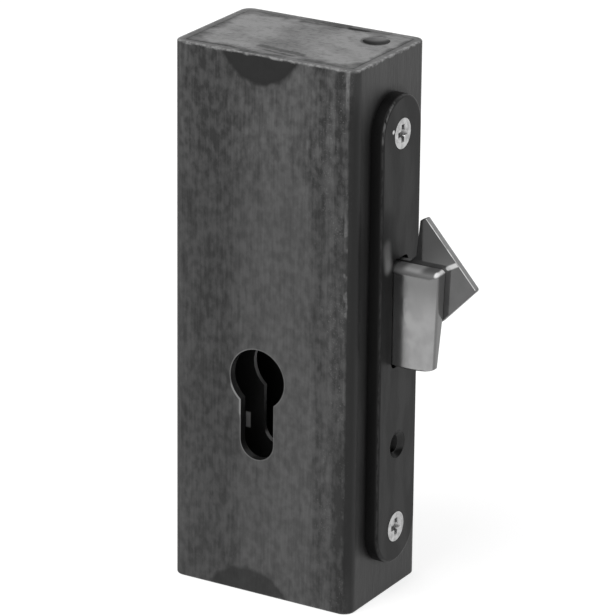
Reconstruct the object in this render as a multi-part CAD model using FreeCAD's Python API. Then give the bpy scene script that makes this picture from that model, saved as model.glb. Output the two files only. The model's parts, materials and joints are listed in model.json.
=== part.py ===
import FreeCAD, Part
import math
import os

# Sliding-gate lock: a mortice hook lock in a welded steel box. All sizes are in millimetres.
# The origin is the middle of the box's underside, +Z is up, and +X points out of the forend.
# The bolt is drawn thrown, with its hook swung up, and the cylinder is not fitted.

# How far a cut runs past the face that it goes through, and how near counts as on a face
PAST = 1.0
TOUCH = 0.1

# Box
BOX_DEPTH = 40.0
BOX_WALL = 2.5
BOX_CORNER = 3.5
BOX_ABOVE_FOREND = 10.8
BOX_BELOW_FOREND = 11.2
EDGE_BREAK = 0.5
END_PLATE = 4.0
END_PLATE_GAP = 0.1
WELD_LENGTH = 15.0
WELD_RADIUS = 1.8
VENT_DIAMETER = 8.0
VENT_FROM_FRONT = 10.7
VENT_FROM_SIDE = 10.2

# Forend and its screws
FOREND_WIDTH = 22.0
FOREND_THICKNESS = 4.0
FOREND_ABOVE_CASE = 18.2
FOREND_BELOW_CASE = 18.0
FOREND_EDGE = 1.0
SCREW_ABOVE_CASE = 6.8
SCREW_BELOW_CASE = 7.1
SCREW_DIAMETER = 5.0
SCREW_HEAD = 9.0
SCREW_LENGTH = 14.0
SCREW_GAP = 0.2
THREAD_GAP = 0.05
RECESS_LENGTH = 5.4
RECESS_WIDTH = 1.6
RECESS_DEPTH = 1.9
RECESS_CENTRE = 3.0
RECESS_FOOT = 1.4
NUT_FLATS = 8.0
NUT_HEIGHT = 4.0
SINK_DIAMETER = 8.4

# Keyhole for a profile cylinder, and the cam that such a cylinder turns
BACKSET = 35.25
KEYHOLE_DIAMETER = 18.0
KEYHOLE_SLOT = 11.0
KEYHOLE_DROP = 19.3
CAM_SWEEP = 15.3
CAM_GAP = 0.9

# Lock case
CASE_THICKNESS = 14.0
CASE_SHEET = 1.5
CASE_FIT = 0.25
CASE_BELOW_KEYHOLE = 11.5
CASE_BEHIND_TAIL = 1.7
CASE_TO_BOX = 2.5
PILLAR_DIAMETER = 6.0
PILLAR_INSET = 3.0
PILLAR_THREAD = 3.0
COVER_SCREW_HEAD = 5.5
COVER_SCREW_RISE = 1.4
COVER_SCREW_GRIP = 5.0
THREAD_SPARE = 1.0
STEM_DIAMETER = 3.6

# Bolt
BOLT_TRAVEL = 16.5
BLOCK_REACH = 14.0
BLOCK_ABOVE_KEYHOLE = 6.1
BLOCK_HEIGHT = 30.3
BLOCK_THICKNESS = 5.0
BLOCK_FRONT = 4.0
BLOCK_ROUND = 2.4
NOSE_ROUND = 1.2
BLOCK_LEAN = 1.1
BLOCK_BELLY = 0.8
BLOCK_HEAD_TAIL = 2.0
BEVEL_DEPTH = 3.0
BEVEL_RUN = 7.5
BLOCK_WEB = 2.0
TAIL_THICKNESS = 2.5
TAIL_LAP = 2.5
TAIL_RIM = 2.5
RIVET_DIAMETER = 2.8
RIVET_PITCH = 4.8
STUD_DIAMETER = 4.0
SLOT_GAP = 0.3
SLOT_CORNER = 1.8
SLOT_SIDE = 0.4
SLOT_END = 1.6
SLOT_HEEL = 1.0

# Hook, as offsets from its pivot
PIVOT_FROM_KEYHOLE = 24.25
PIVOT_BELOW_BLOCK_TOP = 4.4
PIVOT_DIAMETER = 6.0
PIVOT_GAP = 0.05
HOOK_SWING = 45.0
HOOK_THICKNESS = 2.2
HOOK_HUB = 6.3
HOOK_TIP_INNER = (16.4, 17.6)
HOOK_TIP_OUTER = (18.3, 18.6)
HOOK_CORNER = (35.0, -0.2)
HOOK_HEEL = (23.7, -11.9)
HOOK_BELLY = (13.0, -12.5)
HOOK_THROAT = (15.3, 6.8)
HOOK_NECK_TOP = 4.9
HOOK_CORNER_ROUND = 0.8
HOOK_HEEL_ROUND = 2.0
HOOK_ARM_HALF = 5.2
GUIDE_DIAMETER = 5.0
GUIDE_GAP = 0.35
LAYER_GAP = 0.15
RING_THICKNESS = 0.8
RING_WIDTH = 1.8
RING_GROOVE = 0.5
RING_MOUTH = 3.6
PIN_END = 0.5

# Driver lever, turned by the cylinder's cam
LEVER_PIVOT_RISE = 55.5
LEVER_PIN_ABOVE_MOUTH = 5.8
LEVER_PIN_DIAMETER = 4.9
LEVER_HUB = 7.0
LEVER_THICKNESS = 2.1
LEVER_SHANK_HALF = 4.2
LEVER_FORK_HALF = 8.0
LEVER_FORK_DEPTH = 6.7
LEVER_FORK_WEB = 2.8
LEVER_MOUTH_HALF = 5.4
LEVER_BORE_DIAMETER = 5.0
SPACER_WIDTH = 2.4
NOTCH_DEPTH = 1.0
NOTCH_HALF = 1.3

# Detent spring above the lever's hub
SPRING_ROOM = 4.0
SPRING_THICKNESS = 0.6
SPRING_WIDTH = 4.0
SPRING_FOOT = 9.5
SPRING_NOSE_GAP = 0.25
SPRING_TIP_REACH = 6.0
SPRING_RIVET = 2.0
SPRING_RIVET_HEAD = 3.6
SPRING_RIVET_RISE = 1.0

# Heights above the underside
FOREND_FOOT = BOX_BELOW_FOREND
CASE_FOOT = FOREND_FOOT + FOREND_BELOW_CASE
KEYHOLE_FOOT = CASE_FOOT + CASE_SHEET + CASE_BELOW_KEYHOLE
CYLINDER_SCREW_Z = KEYHOLE_FOOT + KEYHOLE_SLOT / 2
KEY_Z = CYLINDER_SCREW_Z + KEYHOLE_DROP
LEVER_Z = KEY_Z + LEVER_PIVOT_RISE
CASE_TOP = LEVER_Z + LEVER_HUB + SPRING_ROOM + CASE_SHEET
FOREND_TOP = CASE_TOP + FOREND_ABOVE_CASE
BOX_HEIGHT = FOREND_TOP + BOX_ABOVE_FOREND
SCREW_HEIGHTS = (CASE_FOOT - SCREW_BELOW_CASE, CASE_TOP + SCREW_ABOVE_CASE)
TAIL_FOOT = KEY_Z + CAM_SWEEP + CAM_GAP
BLOCK_FOOT = KEY_Z + BLOCK_ABOVE_KEYHOLE
BLOCK_TOP = BLOCK_FOOT + BLOCK_HEIGHT
HOOK_Z = BLOCK_TOP - PIVOT_BELOW_BLOCK_TOP

# Distances behind the forend's outer face, which then give the width of the box
PIVOT_BEHIND = BACKSET - PIVOT_FROM_KEYHOLE
STUD_BEHIND = PIVOT_BEHIND + PIVOT_DIAMETER / 2 + BLOCK_WEB + STUD_DIAMETER / 2 + BOLT_TRAVEL
TAIL_BEHIND = STUD_BEHIND + STUD_DIAMETER / 2 + SLOT_GAP + TAIL_RIM
CASE_BEHIND = TAIL_BEHIND + BOLT_TRAVEL + CASE_BEHIND_TAIL + CASE_SHEET
BOX_WIDTH = CASE_BEHIND + CASE_TO_BOX + BOX_WALL - FOREND_THICKNESS

BOX_FRONT = BOX_WIDTH / 2
FOREND_FACE = BOX_FRONT + FOREND_THICKNESS
KEY_X = FOREND_FACE - BACKSET
HOOK_X = FOREND_FACE - PIVOT_BEHIND
STUD_X = FOREND_FACE - STUD_BEHIND
TAIL_END = FOREND_FACE - TAIL_BEHIND
CASE_BACK = FOREND_FACE - CASE_BEHIND
NOSE_X = FOREND_FACE + BLOCK_REACH
DRIVE_X = KEY_X + BOLT_TRAVEL / 2

# Layers across the case, front to back
CASE_HALF = CASE_THICKNESS / 2
CASE_INSIDE = CASE_HALF - CASE_SHEET
BLOCK_BACK = BLOCK_THICKNESS - BLOCK_FRONT
TAIL_BACK = TAIL_THICKNESS - BLOCK_FRONT
HOOK_FRONT = BLOCK_BACK + LAYER_GAP
HOOK_BACK = HOOK_FRONT + HOOK_THICKNESS
LEVER_FRONT = TAIL_BACK + LAYER_GAP
LEVER_BACK = LEVER_FRONT + LEVER_THICKNESS
SLOT_HALF = BLOCK_FRONT + SLOT_SIDE

# Angles and the two pins that the travel sets
LEVER_PIN_ARM = LEVER_Z - TAIL_FOOT - LEVER_PIN_ABOVE_MOUTH
LEVER_TILT = math.asin(BOLT_TRAVEL / 2 / LEVER_PIN_ARM)
GUIDE_X = HOOK_X - BOLT_TRAVEL / 2
GUIDE_RISE = BOLT_TRAVEL / 2 / math.tan(math.radians(HOOK_SWING / 2))
GUIDE_Z = HOOK_Z + GUIDE_RISE
DRIVE_Z = LEVER_Z - LEVER_PIN_ARM * math.cos(LEVER_TILT)

X_AXIS = FreeCAD.Vector(1, 0, 0)
Y_AXIS = FreeCAD.Vector(0, 1, 0)
Z_AXIS = FreeCAD.Vector(0, 0, 1)


def vec(x, y, z):
    return FreeCAD.Vector(x, y, z)


def block(x0, x1, y0, y1, z0, z1):
    return Part.makeBox(x1 - x0, y1 - y0, z1 - z0, vec(x0, y0, z0))


def rod_x(y, z, radius, x0, x1):
    return Part.makeCylinder(radius, x1 - x0, vec(x0, y, z), X_AXIS)


def rod_y(x, z, radius, y0, y1):
    return Part.makeCylinder(radius, y1 - y0, vec(x, y0, z), Y_AXIS)


def rod_z(x, y, radius, z0, z1):
    return Part.makeCylinder(radius, z1 - z0, vec(x, y, z0), Z_AXIS)


def fuse(shapes):
    """Join shapes into one and drop the seams between them."""
    whole = shapes[0]
    for shape in shapes[1:]:
        whole = whole.fuse(shape)
    return whole.removeSplitter()


def cut(shape, tools):
    for tool in tools:
        shape = shape.cut(tool)
    return shape


def edges_where(shape, test):
    """Edges whose two ends and middle all pass the test."""
    found = []
    for edge in shape.Edges:
        middle = edge.valueAt((edge.FirstParameter + edge.LastParameter) / 2)
        points = [vertex.Point for vertex in edge.Vertexes] + [middle]
        if all(test(point) for point in points):
            found.append(edge)
    return found


def near(a, b):
    return abs(a - b) < 1e-4


def round_corners(plate, radius, corners):
    """Round the edges of a flat piece that run along Y at the given (x, z) corners."""
    edges = []
    for x, z in corners:
        edges += edges_where(plate, lambda p: near(p.x, x) and near(p.z, z))
    return plate.makeFillet(radius, edges)


def plate_xz(points, y0, y1):
    """A flat piece with a straight-sided outline in X and Z."""
    corners = [vec(x, y0, z) for x, z in points]
    face = Part.Face(Part.makePolygon(corners + [corners[0]]))
    return face.extrude(vec(0, y1 - y0, 0))


def bar_xz(start, end, half, y0, y1):
    """A flat bar with round ends, centred on two (x, z) points."""
    length = math.hypot(end[0] - start[0], end[1] - start[1])
    angle = math.degrees(math.atan2(end[1] - start[1], end[0] - start[0]))
    strip = block(0, length, y0, y1, -half, half)
    strip.rotate(vec(0, 0, 0), Y_AXIS, -angle)
    strip.translate(vec(start[0], 0, start[1]))
    ends = [rod_y(x, z, half, y0, y1) for x, z in (start, end)]
    return fuse([strip] + ends)


def rounded_slab_x(x0, x1, half, z0, z1, radius):
    """A slab lying in Y and Z whose four long corners are rounded."""
    slab = block(x0, x1, -half, half, z0, z1)
    edges = edges_where(slab, lambda p: near(abs(p.y), half) and (near(p.z, z0) or near(p.z, z1)))
    return slab.makeFillet(radius, edges)


def keyhole(half_depth):
    """The profile-cylinder hole, as a solid that runs from -half_depth to half_depth."""
    circle = rod_y(KEY_X, KEY_Z, KEYHOLE_DIAMETER / 2, -half_depth, half_depth)
    stem_start = (KEY_X, KEY_Z)
    stem_end = (KEY_X, CYLINDER_SCREW_Z)
    stem = bar_xz(stem_start, stem_end, KEYHOLE_SLOT / 2, -half_depth, half_depth)
    return fuse([circle, stem])


def bolt_slot(x0, x1):
    """The mouth that the bolt and the hook come out of."""
    foot = BLOCK_FOOT - SLOT_HEEL
    return rounded_slab_x(x0, x1, SLOT_HALF, foot, BLOCK_TOP + SLOT_END, SLOT_CORNER)


def weld_places():
    """The (y, z, up) of each weld, where an end plate meets the two wide walls."""
    seam = BOX_DEPTH / 2 - BOX_WALL
    return [(y, z) for z in (0, BOX_HEIGHT) for y in (-seam, seam)]


def weld_bead(y, z):
    """Half of a round bead, ground flush with the end of the box."""
    bead = rod_x(y, z, WELD_RADIUS, KEY_X - WELD_LENGTH / 2, KEY_X + WELD_LENGTH / 2)
    whole_box = block(-BOX_WIDTH, BOX_WIDTH, -BOX_DEPTH, BOX_DEPTH, 0, BOX_HEIGHT)
    return bead.common(whole_box)


def box_tube():
    half_w = BOX_WIDTH / 2
    half_d = BOX_DEPTH / 2
    outer = block(-half_w, half_w, -half_d, half_d, 0, BOX_HEIGHT)
    posts = edges_where(outer, lambda p: near(abs(p.x), half_w) and near(abs(p.y), half_d))
    outer = outer.makeFillet(BOX_CORNER, posts)
    rims = edges_where(outer, lambda p: near(p.z, 0) or near(p.z, BOX_HEIGHT))
    outer = outer.makeFillet(EDGE_BREAK, rims)
    hollow = box_filling(0, BOX_HEIGHT, 0)
    window = rounded_slab_x(
        half_w - BOX_WALL - PAST, half_w + PAST, CASE_HALF + CASE_FIT,
        CASE_FOOT - CASE_FIT, CASE_TOP + CASE_FIT, CASE_FIT)
    holes = [rod_x(0, z, SCREW_DIAMETER / 2 + SCREW_GAP, half_w - BOX_WALL - PAST, half_w + PAST)
             for z in SCREW_HEIGHTS]
    beads = [weld_bead(y, z) for y, z in weld_places()]
    return cut(outer, [hollow, keyhole(half_d + PAST), window] + holes + beads)


def box_filling(z0, z1, gap):
    """A block that fills the inside of the tube, less a gap all round."""
    half_w = BOX_WIDTH / 2 - BOX_WALL - gap
    half_d = BOX_DEPTH / 2 - BOX_WALL - gap
    filling = block(-half_w, half_w, -half_d, half_d, z0, z1)
    posts = edges_where(filling, lambda p: near(abs(p.x), half_w) and near(abs(p.y), half_d))
    return filling.makeFillet(BOX_CORNER - BOX_WALL, posts)


def end_plate(z0, z1):
    beads = [weld_bead(y, z) for y, z in weld_places()]
    return cut(box_filling(z0, z1, END_PLATE_GAP), beads)


def bottom_end_plate():
    return end_plate(0, END_PLATE)


def top_end_plate():
    plate = end_plate(BOX_HEIGHT - END_PLATE, BOX_HEIGHT)
    x = BOX_FRONT - VENT_FROM_FRONT
    y = BOX_DEPTH / 2 - VENT_FROM_SIDE
    vent = rod_z(x, y, VENT_DIAMETER / 2, BOX_HEIGHT - END_PLATE - PAST, BOX_HEIGHT + PAST)
    return plate.cut(vent)


def end_plate_welds():
    return Part.makeCompound([weld_bead(y, z) for y, z in weld_places()])


def sink(z, head_radius, hole_radius, gap):
    """A countersunk hole through the forend, as the solid to be cut away."""
    cone = Part.makeCone(hole_radius, head_radius + gap, head_radius + gap - hole_radius,
                         vec(FOREND_FACE - (head_radius + gap - hole_radius), 0, z), X_AXIS)
    hole = rod_x(0, z, hole_radius, BOX_FRONT - PAST, FOREND_FACE + PAST)
    return cone.fuse(hole)


def forend():
    half = FOREND_WIDTH / 2
    slab = fuse([
        block(BOX_FRONT, FOREND_FACE, -half, half, FOREND_FOOT + half, FOREND_TOP - half),
        rod_x(0, FOREND_FOOT + half, half, BOX_FRONT, FOREND_FACE),
        rod_x(0, FOREND_TOP - half, half, BOX_FRONT, FOREND_FACE)])
    rim = edges_where(slab, lambda p: near(p.x, FOREND_FACE))
    slab = slab.makeFillet(FOREND_EDGE, rim)
    hole_radius = SCREW_DIAMETER / 2 + SCREW_GAP
    sinks = [sink(z, SCREW_HEAD / 2, hole_radius, SCREW_GAP) for z in SCREW_HEIGHTS]
    sinks.append(sink(CYLINDER_SCREW_Z, SINK_DIAMETER / 2, hole_radius, 0))
    return cut(slab, sinks + [bolt_slot(BOX_FRONT - PAST, FOREND_FACE + PAST)])


def cross_recess(z):
    """Two crossing wedges and a cone in their middle, narrower towards the bottom of the recess."""
    floor_half = RECESS_LENGTH / 2 - RECESS_DEPTH / 2
    wings = []
    for along_y in (True, False):
        top = RECESS_LENGTH / 2
        half = RECESS_WIDTH / 2
        profile = [(FOREND_FACE + TOUCH, -top), (FOREND_FACE + TOUCH, top),
                   (FOREND_FACE - RECESS_DEPTH, floor_half), (FOREND_FACE - RECESS_DEPTH, -floor_half)]
        wing = plate_xz(profile, -half, half)
        if along_y:
            wing.rotate(vec(0, 0, 0), X_AXIS, 90)
        wing.translate(vec(0, 0, z))
        wings.append(wing)
    foot = vec(FOREND_FACE - RECESS_DEPTH, 0, z)
    middle = Part.makeCone(RECESS_FOOT / 2, RECESS_CENTRE / 2, RECESS_DEPTH + TOUCH, foot, X_AXIS)
    return wings + [middle]


def forend_screw(z):
    """A countersunk screw with a crossed recess, flush with the forend."""
    shank = SCREW_DIAMETER / 2 - THREAD_GAP
    head = SCREW_HEAD / 2
    cone = Part.makeCone(shank, head, head - shank, vec(FOREND_FACE - head + shank, 0, z), X_AXIS)
    tip = FOREND_FACE - SCREW_LENGTH
    body = rod_x(0, z, shank, tip, FOREND_FACE - head + shank)
    end = edges_where(body, lambda p: near(p.x, tip))
    body = body.makeChamfer(EDGE_BREAK, end)
    return cut(fuse([body, cone]), cross_recess(z))


def forend_screws():
    return Part.makeCompound([forend_screw(z) for z in SCREW_HEIGHTS])


def weld_nut(z):
    """A hexagon nut held against the inside of the tube's front wall."""
    corner = NUT_FLATS / 2 / math.cos(math.radians(30))
    x1 = BOX_FRONT - BOX_WALL
    points = []
    for i in range(7):
        turn = math.radians(60 * i + 30)
        points.append(vec(x1 - NUT_HEIGHT, corner * math.sin(turn), z + corner * math.cos(turn)))
    nut = Part.Face(Part.makePolygon(points)).extrude(vec(NUT_HEIGHT, 0, 0))
    return nut.cut(rod_x(0, z, SCREW_DIAMETER / 2, x1 - NUT_HEIGHT - PAST, x1 + PAST))


def weld_nuts():
    return Part.makeCompound([weld_nut(z) for z in SCREW_HEIGHTS])


def pillar_places():
    """The (x, z) of the four posts that hold the cover to the case."""
    inset = CASE_SHEET + PILLAR_INSET + PILLAR_DIAMETER / 2
    xs = (CASE_BACK + inset, BOX_FRONT - inset)
    zs = (CASE_FOOT + inset, CASE_TOP - inset)
    return [(x, z) for x in xs for z in zs]


def pin_places():
    """The (x, z) of the two pins that run right across the case."""
    return [(GUIDE_X, GUIDE_Z), (KEY_X, LEVER_Z)]


def stem_holes(places, y0, y1):
    return [rod_y(x, z, STEM_DIAMETER / 2 + THREAD_GAP, y0, y1) for x, z in places]


def lock_case():
    """The folded case: a back plate and four walls, open towards the cover."""
    outer = block(CASE_BACK, BOX_FRONT, -CASE_INSIDE, CASE_HALF, CASE_FOOT, CASE_TOP)
    folds = edges_where(outer, lambda p: near(p.y, CASE_HALF))
    outer = outer.makeFillet(CASE_SHEET / 2, folds)
    inner = block(CASE_BACK + CASE_SHEET, BOX_FRONT - CASE_SHEET, -CASE_HALF, CASE_INSIDE,
                  CASE_FOOT + CASE_SHEET, CASE_TOP - CASE_SHEET)
    front = (BOX_FRONT - CASE_SHEET - PAST, BOX_FRONT + PAST)
    screw_hole = rod_x(0, CYLINDER_SCREW_Z, SCREW_DIAMETER / 2 + SCREW_GAP, *front)
    spring_hole = rod_z(spring_foot_x(), 0, SPRING_RIVET / 2 + THREAD_GAP,
                        CASE_TOP - CASE_SHEET - PAST, CASE_TOP + PAST)
    stems = stem_holes(pillar_places() + pin_places(), CASE_INSIDE - PAST, CASE_HALF + PAST)
    return cut(outer, [inner, keyhole(CASE_THICKNESS), bolt_slot(*front), screw_hole, spring_hole]
               + stems)


def lock_cover():
    """The flat cover on the keyhole side of the case."""
    plate = block(CASE_BACK, BOX_FRONT, -CASE_HALF, -CASE_INSIDE, CASE_FOOT, CASE_TOP)
    holes = [rod_y(x, z, PILLAR_THREAD / 2 + SCREW_GAP, -CASE_HALF - PAST, 0)
             for x, z in pillar_places()]
    stems = stem_holes(pin_places() + [(STUD_X, HOOK_Z)], -CASE_HALF - PAST, 0)
    return cut(plate, [keyhole(CASE_THICKNESS)] + holes + stems)


def case_pillar(x, z):
    """A post with a riveted stem at the back and a threaded hole at the front."""
    post = rod_y(x, z, PILLAR_DIAMETER / 2, -CASE_INSIDE, CASE_INSIDE)
    stem = rod_y(x, z, STEM_DIAMETER / 2, CASE_INSIDE, CASE_HALF)
    thread_end = COVER_SCREW_GRIP + THREAD_SPARE - CASE_INSIDE
    thread = rod_y(x, z, PILLAR_THREAD / 2, -CASE_INSIDE - PAST, thread_end)
    return fuse([post, stem]).cut(thread)


def case_pillars():
    return Part.makeCompound([case_pillar(x, z) for x, z in pillar_places()])


def cover_screw(x, z):
    """A low round-headed screw with a straight slot."""
    head = rod_y(x, z, COVER_SCREW_HEAD / 2, -CASE_HALF - COVER_SCREW_RISE, -CASE_HALF)
    shank = rod_y(x, z, PILLAR_THREAD / 2 - THREAD_GAP, -CASE_HALF, COVER_SCREW_GRIP - CASE_INSIDE)
    top = -CASE_HALF - COVER_SCREW_RISE
    outer_rim = edges_where(head, lambda p: near(p.y, top))
    head = head.makeFillet(COVER_SCREW_RISE / 2, outer_rim)
    slot = block(x - COVER_SCREW_HEAD, x + COVER_SCREW_HEAD, top - PAST, top + COVER_SCREW_RISE / 2,
                 z - EDGE_BREAK, z + EDGE_BREAK)
    return fuse([head, shank]).cut(slot)


def cover_screws():
    return Part.makeCompound([cover_screw(x, z) for x, z in pillar_places()])


def cross_pin(x, z, radius):
    """A pin across the whole case, with a thinner stem through each plate."""
    body = rod_y(x, z, radius, -CASE_INSIDE, CASE_INSIDE)
    stem = rod_y(x, z, STEM_DIAMETER / 2, -CASE_HALF, CASE_HALF)
    return fuse([body, stem])


def hook_guide_pin():
    return cross_pin(GUIDE_X, GUIDE_Z, GUIDE_DIAMETER / 2)


def lever_pivot_pin():
    return cross_pin(KEY_X, LEVER_Z, LEVER_BORE_DIAMETER / 2)


def lever_spacer(y0, y1):
    ring = rod_y(KEY_X, LEVER_Z, LEVER_BORE_DIAMETER / 2 + PIVOT_GAP + SPACER_WIDTH, y0, y1)
    return ring.cut(rod_y(KEY_X, LEVER_Z, LEVER_BORE_DIAMETER / 2 + PIVOT_GAP, y0 - PAST, y1 + PAST))


def lever_spacers():
    front = lever_spacer(-CASE_INSIDE, LEVER_FRONT - LAYER_GAP)
    back = lever_spacer(LEVER_BACK + LAYER_GAP, CASE_INSIDE)
    return Part.makeCompound([front, back])


def bolt_guide_stud():
    """A short stud on the cover, which the tail's long slot slides along."""
    post = rod_y(STUD_X, HOOK_Z, STUD_DIAMETER / 2, -CASE_INSIDE, TAIL_BACK - SLOT_GAP)
    stem = rod_y(STUD_X, HOOK_Z, STEM_DIAMETER / 2, -CASE_HALF, -CASE_INSIDE)
    return fuse([post, stem])


def bolt_block():
    """The cast head of the bolt: rounded along its top, with a rebate for the tail."""
    head_back = BOX_FRONT + BLOCK_HEAD_TAIL - CASE_SHEET
    back = HOOK_X - PIVOT_DIAMETER / 2 - BLOCK_WEB
    step = TAIL_FOOT + CAM_GAP
    lap_end = BOX_FRONT - TAIL_LAP
    heel = (NOSE_X - BLOCK_LEAN, -BLOCK_FRONT, BLOCK_FOOT + BLOCK_BELLY)
    belly = vec((heel[0] + head_back) / 2, -BLOCK_FRONT, BLOCK_FOOT)
    root = vec(head_back, -BLOCK_FRONT, BLOCK_FOOT + BLOCK_BELLY)
    under = Part.Arc(vec(*heel), belly, root).toShape()
    points = [root, vec(head_back, -BLOCK_FRONT, step), vec(back, -BLOCK_FRONT, step),
              vec(back, -BLOCK_FRONT, BLOCK_TOP), vec(NOSE_X, -BLOCK_FRONT, BLOCK_TOP), vec(*heel)]
    sides = [Part.makeLine(a, b) for a, b in zip(points, points[1:])]
    face = Part.Face(Part.Wire([under] + sides))
    body = face.extrude(vec(0, BLOCK_THICKNESS, 0))
    rebate = block(back - PAST, lap_end, -BLOCK_FRONT - PAST, TAIL_BACK, step - PAST, BLOCK_TOP + PAST)
    end = edges_where(body, lambda p: near(p.x, NOSE_X) and near(p.z, BLOCK_TOP))
    body = body.makeFillet(NOSE_ROUND, end)
    crown = edges_where(body, lambda p: near(p.y, -BLOCK_FRONT) and near(p.z, BLOCK_TOP))
    body = body.makeFillet(BLOCK_ROUND, crown)
    body = body.cut(nose_bevel())
    nose = edges_where(body, lambda p: p.x > NOSE_X - BLOCK_LEAN - TOUCH and p.y < BLOCK_BACK - TOUCH)
    body = body.makeFillet(EDGE_BREAK, nose)
    holes = [rod_y(x, z, RIVET_DIAMETER / 2, -BLOCK_FRONT - PAST, BLOCK_BACK + PAST)
             for x, z in rivet_places()]
    holes.append(rod_y(HOOK_X, HOOK_Z, PIVOT_DIAMETER / 2, -BLOCK_FRONT - PAST, BLOCK_BACK + PAST))
    return cut(body, [rebate] + holes)


def nose_bevel():
    """The wedge taken off the back of the nose, wider towards its foot."""
    x = NOSE_X + PAST
    y = BLOCK_BACK + PAST
    low = BLOCK_FOOT - PAST
    foot = [vec(x, BLOCK_BACK - BEVEL_DEPTH, low), vec(x, y, low), vec(NOSE_X - BEVEL_RUN, y, low)]
    peak = vec(x, y, BLOCK_TOP)
    faces = [Part.Face(Part.makePolygon(foot + [foot[0]]))]
    for a, b in zip(foot, foot[1:] + foot[:1]):
        faces.append(Part.Face(Part.makePolygon([a, b, peak, a])))
    return Part.Solid(Part.Shell(faces))


def rivet_places():
    """The (x, z) of the two rivets that join the tail to the block."""
    z = TAIL_FOOT + CAM_GAP + RIVET_DIAMETER + BLOCK_WEB / 2
    return [(HOOK_X - RIVET_PITCH / 2, z), (HOOK_X + RIVET_PITCH / 2, z)]


def bolt_tail():
    """The steel tail: a long slot for the guide stud and an upright slot for the driver's pin."""
    front = -BLOCK_FRONT
    lap_end = BOX_FRONT - TAIL_LAP
    plate = block(TAIL_END, lap_end, front, TAIL_BACK, TAIL_FOOT, BLOCK_TOP)
    plate = round_corners(plate, TAIL_RIM, [(TAIL_END, TAIL_FOOT), (TAIL_END, BLOCK_TOP)])
    half = STUD_DIAMETER / 2 + SLOT_GAP
    guide = bar_xz((STUD_X, HOOK_Z), (STUD_X + BOLT_TRAVEL, HOOK_Z), half, front - PAST, TAIL_BACK + PAST)
    drive_half = LEVER_PIN_DIAMETER / 2 + SLOT_GAP
    lowest = LEVER_Z - LEVER_PIN_ARM
    drive = bar_xz((DRIVE_X, lowest), (DRIVE_X, DRIVE_Z), drive_half, front - PAST, TAIL_BACK + PAST)
    holes = [rod_y(x, z, RIVET_DIAMETER / 2, front - PAST, TAIL_BACK + PAST) for x, z in rivet_places()]
    holes.append(rod_y(HOOK_X, HOOK_Z, PIVOT_DIAMETER / 2, front - PAST, TAIL_BACK + PAST))
    return cut(plate, [guide, drive] + holes)


def bolt_rivets():
    rivets = [rod_y(x, z, RIVET_DIAMETER / 2 - THREAD_GAP / 2, -BLOCK_FRONT, BLOCK_BACK)
              for x, z in rivet_places()]
    return Part.makeCompound(rivets)


def ring_front():
    return HOOK_BACK + LAYER_GAP


def hook_pivot_pin():
    """The pin on the bolt that the hook turns on, grooved for its ring."""
    radius = PIVOT_DIAMETER / 2 - THREAD_GAP / 2
    end = ring_front() + RING_THICKNESS + PIN_END
    pin = rod_y(HOOK_X, HOOK_Z, radius, -BLOCK_FRONT, end)
    groove = rod_y(HOOK_X, HOOK_Z, radius + PAST, ring_front(), ring_front() + RING_THICKNESS)
    core = rod_y(HOOK_X, HOOK_Z, radius - RING_GROOVE, ring_front(), ring_front() + RING_THICKNESS)
    return pin.cut(groove.cut(core))


def hook_retaining_ring():
    """An open ring that sits in the pin's groove."""
    inner = PIVOT_DIAMETER / 2 - THREAD_GAP / 2 - RING_GROOVE
    y0 = ring_front()
    y1 = y0 + RING_THICKNESS
    ring = rod_y(HOOK_X, HOOK_Z, inner + RING_WIDTH + RING_GROOVE, y0, y1)
    mouth = block(HOOK_X - RING_MOUTH / 2, HOOK_X + RING_MOUTH / 2, y0 - PAST, y1 + PAST,
                  HOOK_Z, HOOK_Z + 2 * PIVOT_DIAMETER)
    return cut(ring, [rod_y(HOOK_X, HOOK_Z, inner, y0 - PAST, y1 + PAST), mouth])


def at_pivot(offset):
    return (HOOK_X + offset[0], HOOK_Z + offset[1])


def hook_plate():
    """The hook: a beaked head outside, a hub on the bolt and a slotted arm inside."""
    neck_root = (0, HOOK_NECK_TOP)
    neck_end = (HOOK_THROAT[0] - (HOOK_THROAT[1] - HOOK_NECK_TOP), HOOK_NECK_TOP)
    offsets = [neck_root, neck_end, HOOK_THROAT, HOOK_TIP_INNER, HOOK_TIP_OUTER, HOOK_CORNER,
               HOOK_HEEL, HOOK_BELLY, (0, -HOOK_HUB)]
    head = plate_xz([at_pivot(p) for p in offsets], HOOK_FRONT, HOOK_BACK)
    head = round_corners(head, EDGE_BREAK, [at_pivot(HOOK_TIP_INNER), at_pivot(HOOK_TIP_OUTER)])
    head = round_corners(head, HOOK_CORNER_ROUND, [at_pivot(HOOK_CORNER), at_pivot(HOOK_THROAT)])
    head = round_corners(head, HOOK_HEEL_ROUND, [at_pivot(HOOK_HEEL), at_pivot(HOOK_BELLY)])
    hub = rod_y(HOOK_X, HOOK_Z, HOOK_HUB, HOOK_FRONT, HOOK_BACK)
    angle = math.radians(90 + HOOK_SWING / 2)
    far = math.hypot(BOLT_TRAVEL / 2, GUIDE_RISE)
    arm = bar_xz((HOOK_X, HOOK_Z), along(angle, far), HOOK_ARM_HALF, HOOK_FRONT, HOOK_BACK)
    half = GUIDE_DIAMETER / 2 + GUIDE_GAP
    track = bar_xz(along(angle, GUIDE_RISE), along(angle, far), half, HOOK_FRONT - PAST, HOOK_BACK + PAST)
    bearing = rod_y(HOOK_X, HOOK_Z, PIVOT_DIAMETER / 2 + PIVOT_GAP, HOOK_FRONT - PAST, HOOK_BACK + PAST)
    return cut(fuse([head, hub, arm]), [track, bearing])


def along(angle, distance):
    """The (x, z) at a distance from the hook's pivot."""
    return (HOOK_X + distance * math.cos(angle), HOOK_Z + distance * math.sin(angle))


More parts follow.
